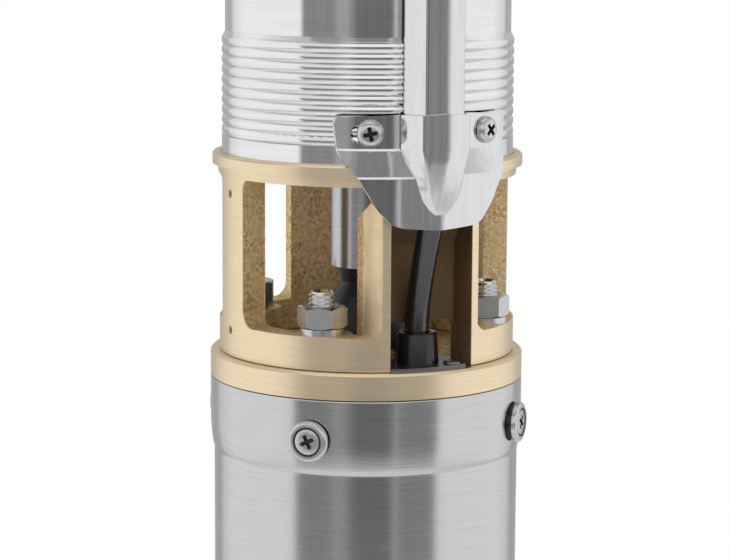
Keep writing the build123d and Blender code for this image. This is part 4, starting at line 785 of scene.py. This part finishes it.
stud_places = [Matrix.Translation(place(STUD_CIRCLE, azimuth, 0)) @ about_z(nut_turn)
               for azimuth, nut_turn in zip(QUARTERS, NUT_TURNS)]
set_of(stud, "stud", stud_places, stud_steel, "fastener_steel", "motor_studs")
set_of(nut, "nut", stud_places, bolt_steel, "fastener_steel", "stud_nuts")

# %% [markdown]
# Pan-head screws hold the guard. The head is a disc with a wide round bevel, and two tapered bars
# cut its cross recess. The gland's plate has a smaller one.

# %% Pan-head screws
GUARD_FACE = 0.04465 + 0.0009   # outer face of the guard's foot and clip from the axis
SCREW_HEIGHTS = (MOTOR_TOP + 0.078, CASING_TOP - 0.0295)
SCREW_AZIMUTHS = ((21.0, 12.0), (69.0, 40.0))   # and how far each cross is turned
PLATE_SCREW = (0.0086, 0.0415)  # sideways from the guard's line and distance out


def pan_screw(radius, height, shank, length, cross):
    """Pan-head screw along Z with the underside of its head at zero."""
    head = round_bar(radius, 0.0, height, 64)
    bevel_rim(head, height, 0.88 * height, 9)
    bevel_rim(head, 0.0, 0.1 * height, 2)
    cut_cross(head, height, cross, 0.6 * height)
    return join(head, round_bar(shank, -length, 0.0, 32))


guard_screw_places = [facing_out(GUARD_FACE, azimuth, height) @ about_z(cross_turn)
                      for height in SCREW_HEIGHTS for azimuth, cross_turn in SCREW_AZIMUTHS]
set_of(pan_screw(0.004, 0.0024, 0.002, 0.0045, 0.0058), "guard_screw", guard_screw_places,
       bolt_steel, "fastener_steel", "guard_screws")

plate_screw_place = Matrix.Translation(beside(*PLATE_SCREW, FACE + 0.001)) @ about_z(20)
set_of(pan_screw(0.0026, 0.001, 0.0015, 0.0055, 0.0034), "gland_screw", [plate_screw_place],
       plate_steel, "fastener_steel", "gland_screw")

# %% [markdown]
# The motor casing is held by countersunk screws in cup washers. The cup is a disc with a broad
# round edge and a conical pocket, and the screw's flat head sits in it with a thin gap that
# carries painted shade.

# %% Casing screws in their cups
CUP_RADIUS, CUP_HEIGHT, SCREW_HEAD = 0.00615, 0.0016, 0.0038
CUP_SEAT = 0.0488               # underside of the cups from the axis
CUP_DROP = 0.0122               # from the casing's top edge to the screws
HEAD_TOP = CUP_HEIGHT - 0.0001
cup = round_bar(CUP_RADIUS, 0.0, CUP_HEIGHT, 72)
bevel_rim(cup, CUP_HEIGHT, 0.0011, 6)
choose(cup, "FACE", facing(1, 0.999))
bpy.ops.mesh.inset(thickness=0.00062)
draw_out(-0.0013, 0.6)
close_edit()
# The pocket's walls take the painted shade.
shade_faces(cup, lambda face: face.calc_center_median().z < CUP_HEIGHT - 0.0003
            and Vector(face.calc_center_median().xy).length < 0.0043)

screw = round_bar(SCREW_HEAD, CUP_HEIGHT - 0.00035, HEAD_TOP, 64)
choose(screw, "FACE", facing(-1))
draw_out(-0.0010, 0.6)
close_edit()
bevel_rim(screw, HEAD_TOP, 0.0002, 2)
cut_cross(screw, HEAD_TOP, 0.0060, 0.0010)
join(screw, round_bar(0.0021, CUP_HEIGHT - 0.009, 0.0003, 32))

cup_places = [facing_out(CUP_SEAT, azimuth, MOTOR_TOP - CUP_DROP) for azimuth in QUARTERS]
screw_places = [matrix @ about_z(25 + 31 * index) for index, matrix in enumerate(cup_places)]
set_of(cup, "cup_washer", cup_places, bolt_steel, "fastener_steel", "head_screw_cups")
set_of(screw, "casing_screw", screw_places, bolt_steel, "fastener_steel", "head_screws")

# %% [markdown]
# The motor casing is a drawn tube with a soft shoulder where it is belled out round the head. Its
# wall is one ring of edges, extruded downward and scaled step by step, so the shoulder is smooth,
# and then back up inside, so the wall is closed.

# %% Motor casing
casing_rings = [  # radius and height in millimetres, from the inner top edge round the wall
    (46.8, 299.75), (47.1, 300.0), (47.8, 300.0), (48.0, 299.8), (48.0, 299.5), (48.0, 288.2),
    (48.0, 287.0), (47.97, 285.3), (47.87, 283.5), (47.72, 281.8), (47.53, 280.2), (47.38, 279.1),
    (47.25, 278.5), (47.11, 278.15), (46.99, 277.85), (46.93, 277.6), (46.905, 277.3),
    (46.9, 276.8), (46.9, 275.4), (46.9, 16.8), (46.9, 16.2), (46.7, 16.0),
    (45.7, 16.0), (45.7, 276.0), (46.8, 281.5), (46.8, 299.75),
]
first_radius, first_height = casing_rings[0]
casing = primitive(bpy.ops.mesh.primitive_circle_add, vertices=160, radius=first_radius / 1000,
                   fill_type="NOTHING", location=(0, 0, first_height / 1000))
choose(casing, "EDGE", lambda edge: True)
for (radius_before, height_before), (radius, height) in zip(casing_rings, casing_rings[1:]):
    draw_out((height - height_before) / 1000, radius / radius_before, center_override=(0, 0, 0))
bpy.ops.mesh.select_all(action="SELECT")
bpy.ops.mesh.remove_doubles(threshold=0.00001)
bpy.ops.mesh.normals_make_consistent(inside=False)
close_edit()
finish_piece(casing, "motor_casing_tube", motor_steel, "motor_steel", "motor_casing", angle=60)
print("casing faces", len(casing.data.polygons))

# %% [markdown]
# Bends in sheet metal and the edges of a casting are never knife sharp, and the bright line along a
# rounded edge is what makes them look real. The guard, its foot and clip and the bracket are taken
# from their CAD solids, merged, and rounded by a bevel.

# %% Rounded sheet and cast pieces


def merged_copy(node_name, flat_angle):
    """Copy of a CAD node whose triangles are joined, and merged where they lie flat."""
    copy = nodes[node_name].copy()
    copy.data = nodes[node_name].data.copy()
    copy.parent = None
    bpy.context.scene.collection.objects.link(copy)
    take(copy)
    bpy.ops.object.mode_set(mode="EDIT")
    bpy.ops.mesh.select_all(action="SELECT")
    bpy.ops.mesh.remove_doubles(threshold=0.000002)
    bpy.ops.mesh.customdata_custom_splitnormals_clear()
    bpy.ops.mesh.dissolve_limited(angle_limit=radians(flat_angle))
    close_edit()
    return copy


def rounded_copy(node_name, width, segments, edge_angle, smooth_angle):
    """Copy of a CAD node with its sharp edges rounded."""
    copy = merged_copy(node_name, 0.4)
    modify(copy, "BEVEL", width=width, segments=segments, limit_method="ANGLE",
           angle_limit=radians(edge_angle), use_clamp_overlap=True, miter_outer="MITER_ARC",
           harden_normals=False)
    finish = nodes[node_name].data.materials[0]
    finish_piece(copy, node_name + "_rounded", finish, slot_of[node_name], node_name,
                 angle=smooth_angle)
    modify(copy, "WEIGHTED_NORMAL", keep_sharp=True, weight=80)
    print(copy.name, len(copy.data.polygons))


rounded_copy("guard_foot", 0.0003, 3, 20, 50)
rounded_copy("guard_clip", 0.0002, 2, 20, 50)
rounded_copy("cable_guard", 0.0002, 2, 20, 50)
rounded_copy("intake_bracket", 0.0004, 3, 25, 35)

# %% [markdown]
# In the pump the check valve's spring is pressed together from below as the poppet lifts; here it
# is a merged copy of its CAD solid, in one shape.

# %% Valve spring
spring = finish_piece(merged_copy("valve_spring", 0.1), "valve_spring_wire", bolt_steel,
                      slot_of["valve_spring"], "valve_spring", angle=60)
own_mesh(spring)

# %% [markdown]
# The gland is a slightly conical rubber plug. A round bevel on its top edge catches the light, and
# a shallow groove runs round the lead.

# %% Cable gland
GLAND_OUT, GLAND_LOW, GLAND_HIGH = 0.035, FACE + 0.001, FACE + 0.0102
gland = primitive(bpy.ops.mesh.primitive_cone_add, vertices=72, radius1=0.0067, radius2=0.0061,
                  depth=GLAND_HIGH - GLAND_LOW, location=(0, 0, (GLAND_LOW + GLAND_HIGH) / 2))
choose(gland, "FACE", facing(1))
bpy.ops.mesh.inset(thickness=0.0017)
draw_out(0.0, 0.84)
bpy.ops.transform.translate(value=(0, 0, -0.0006))
close_edit()
choose(gland, "EDGE", lambda edge: level_edge(GLAND_HIGH)(edge)
       and all(Vector(vertex.co.xy).length > 0.006 for vertex in edge.verts))
bpy.ops.mesh.bevel(offset=0.0005, segments=4)
close_edit()
join(gland, round_bar(0.005, FACE - 0.009, GLAND_LOW, 48))
set_of(gland, "gland", [Matrix.Translation(beside(0.0, GLAND_OUT, 0.0))], gland_rubber,
       "black_rubber", "cable_gland")

# %% [markdown]
# The coil's ties have a small locking head on top. At the cable's free end the sheath is cut back
# and four coloured cores stick out, each with a bared copper tip.

# %% Tie heads and cores
TIE_HEIGHT = COIL_BOTTOM + COIL_HEIGHT + 0.0022     # middle of the tie heads
TIE_RADIUS = 0.0413
tie_heads = []
for azimuth in (170.0, 350.0):
    head = primitive(bpy.ops.mesh.primitive_cube_add, size=1, scale=(0.0046, 0.0052, 0.0024))
    modify(head, "BEVEL", width=0.0005, segments=2)
    head_place = Matrix.Translation(place(TIE_RADIUS, azimuth, TIE_HEIGHT)) @ about_z(azimuth)
    tie_heads += set_of(head, "tie_head_%d" % azimuth, [head_place], tie_plastic, "tie_plastic")

CORE_RADIUS, COPPER_RADIUS, CORE_LENGTH = 0.0012, 0.0007, 0.032
end_radius, end_height = coil_spot(COIL_END)
end_spot = place(end_radius, COIL_END, end_height)
end_way = place(1.0, COIL_END + 90, 0.0)
end_out = place(1.0, COIL_END, 0.0)
for number, (across, upward) in enumerate([(-1, -1), (1, -1), (-1, 1), (1, 1)]):
    points = []
    for along in (-0.004, 0.003, 0.012, 0.022, CORE_LENGTH):
        spread = 0.0014 + 0.0016 * max(along, 0) / CORE_LENGTH
        sideways = end_out * (across * spread + 0.06 * max(along, 0))
        points.append(end_spot + end_way * along + sideways + Vector((0, 0, upward * spread)))
    for part, radius, finish, chosen in (
            ("insulation", CORE_RADIUS, core_finishes[number], points[:4]),
            ("copper", COPPER_RADIUS, bare_copper, points[2:])):
        core = cable("core_%s_%d" % (part, number + 1), chosen, radius, 4, 12, finish)
        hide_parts("lead_cores")

# %% View settings
bpy.context.scene.view_settings.view_transform = "Standard"
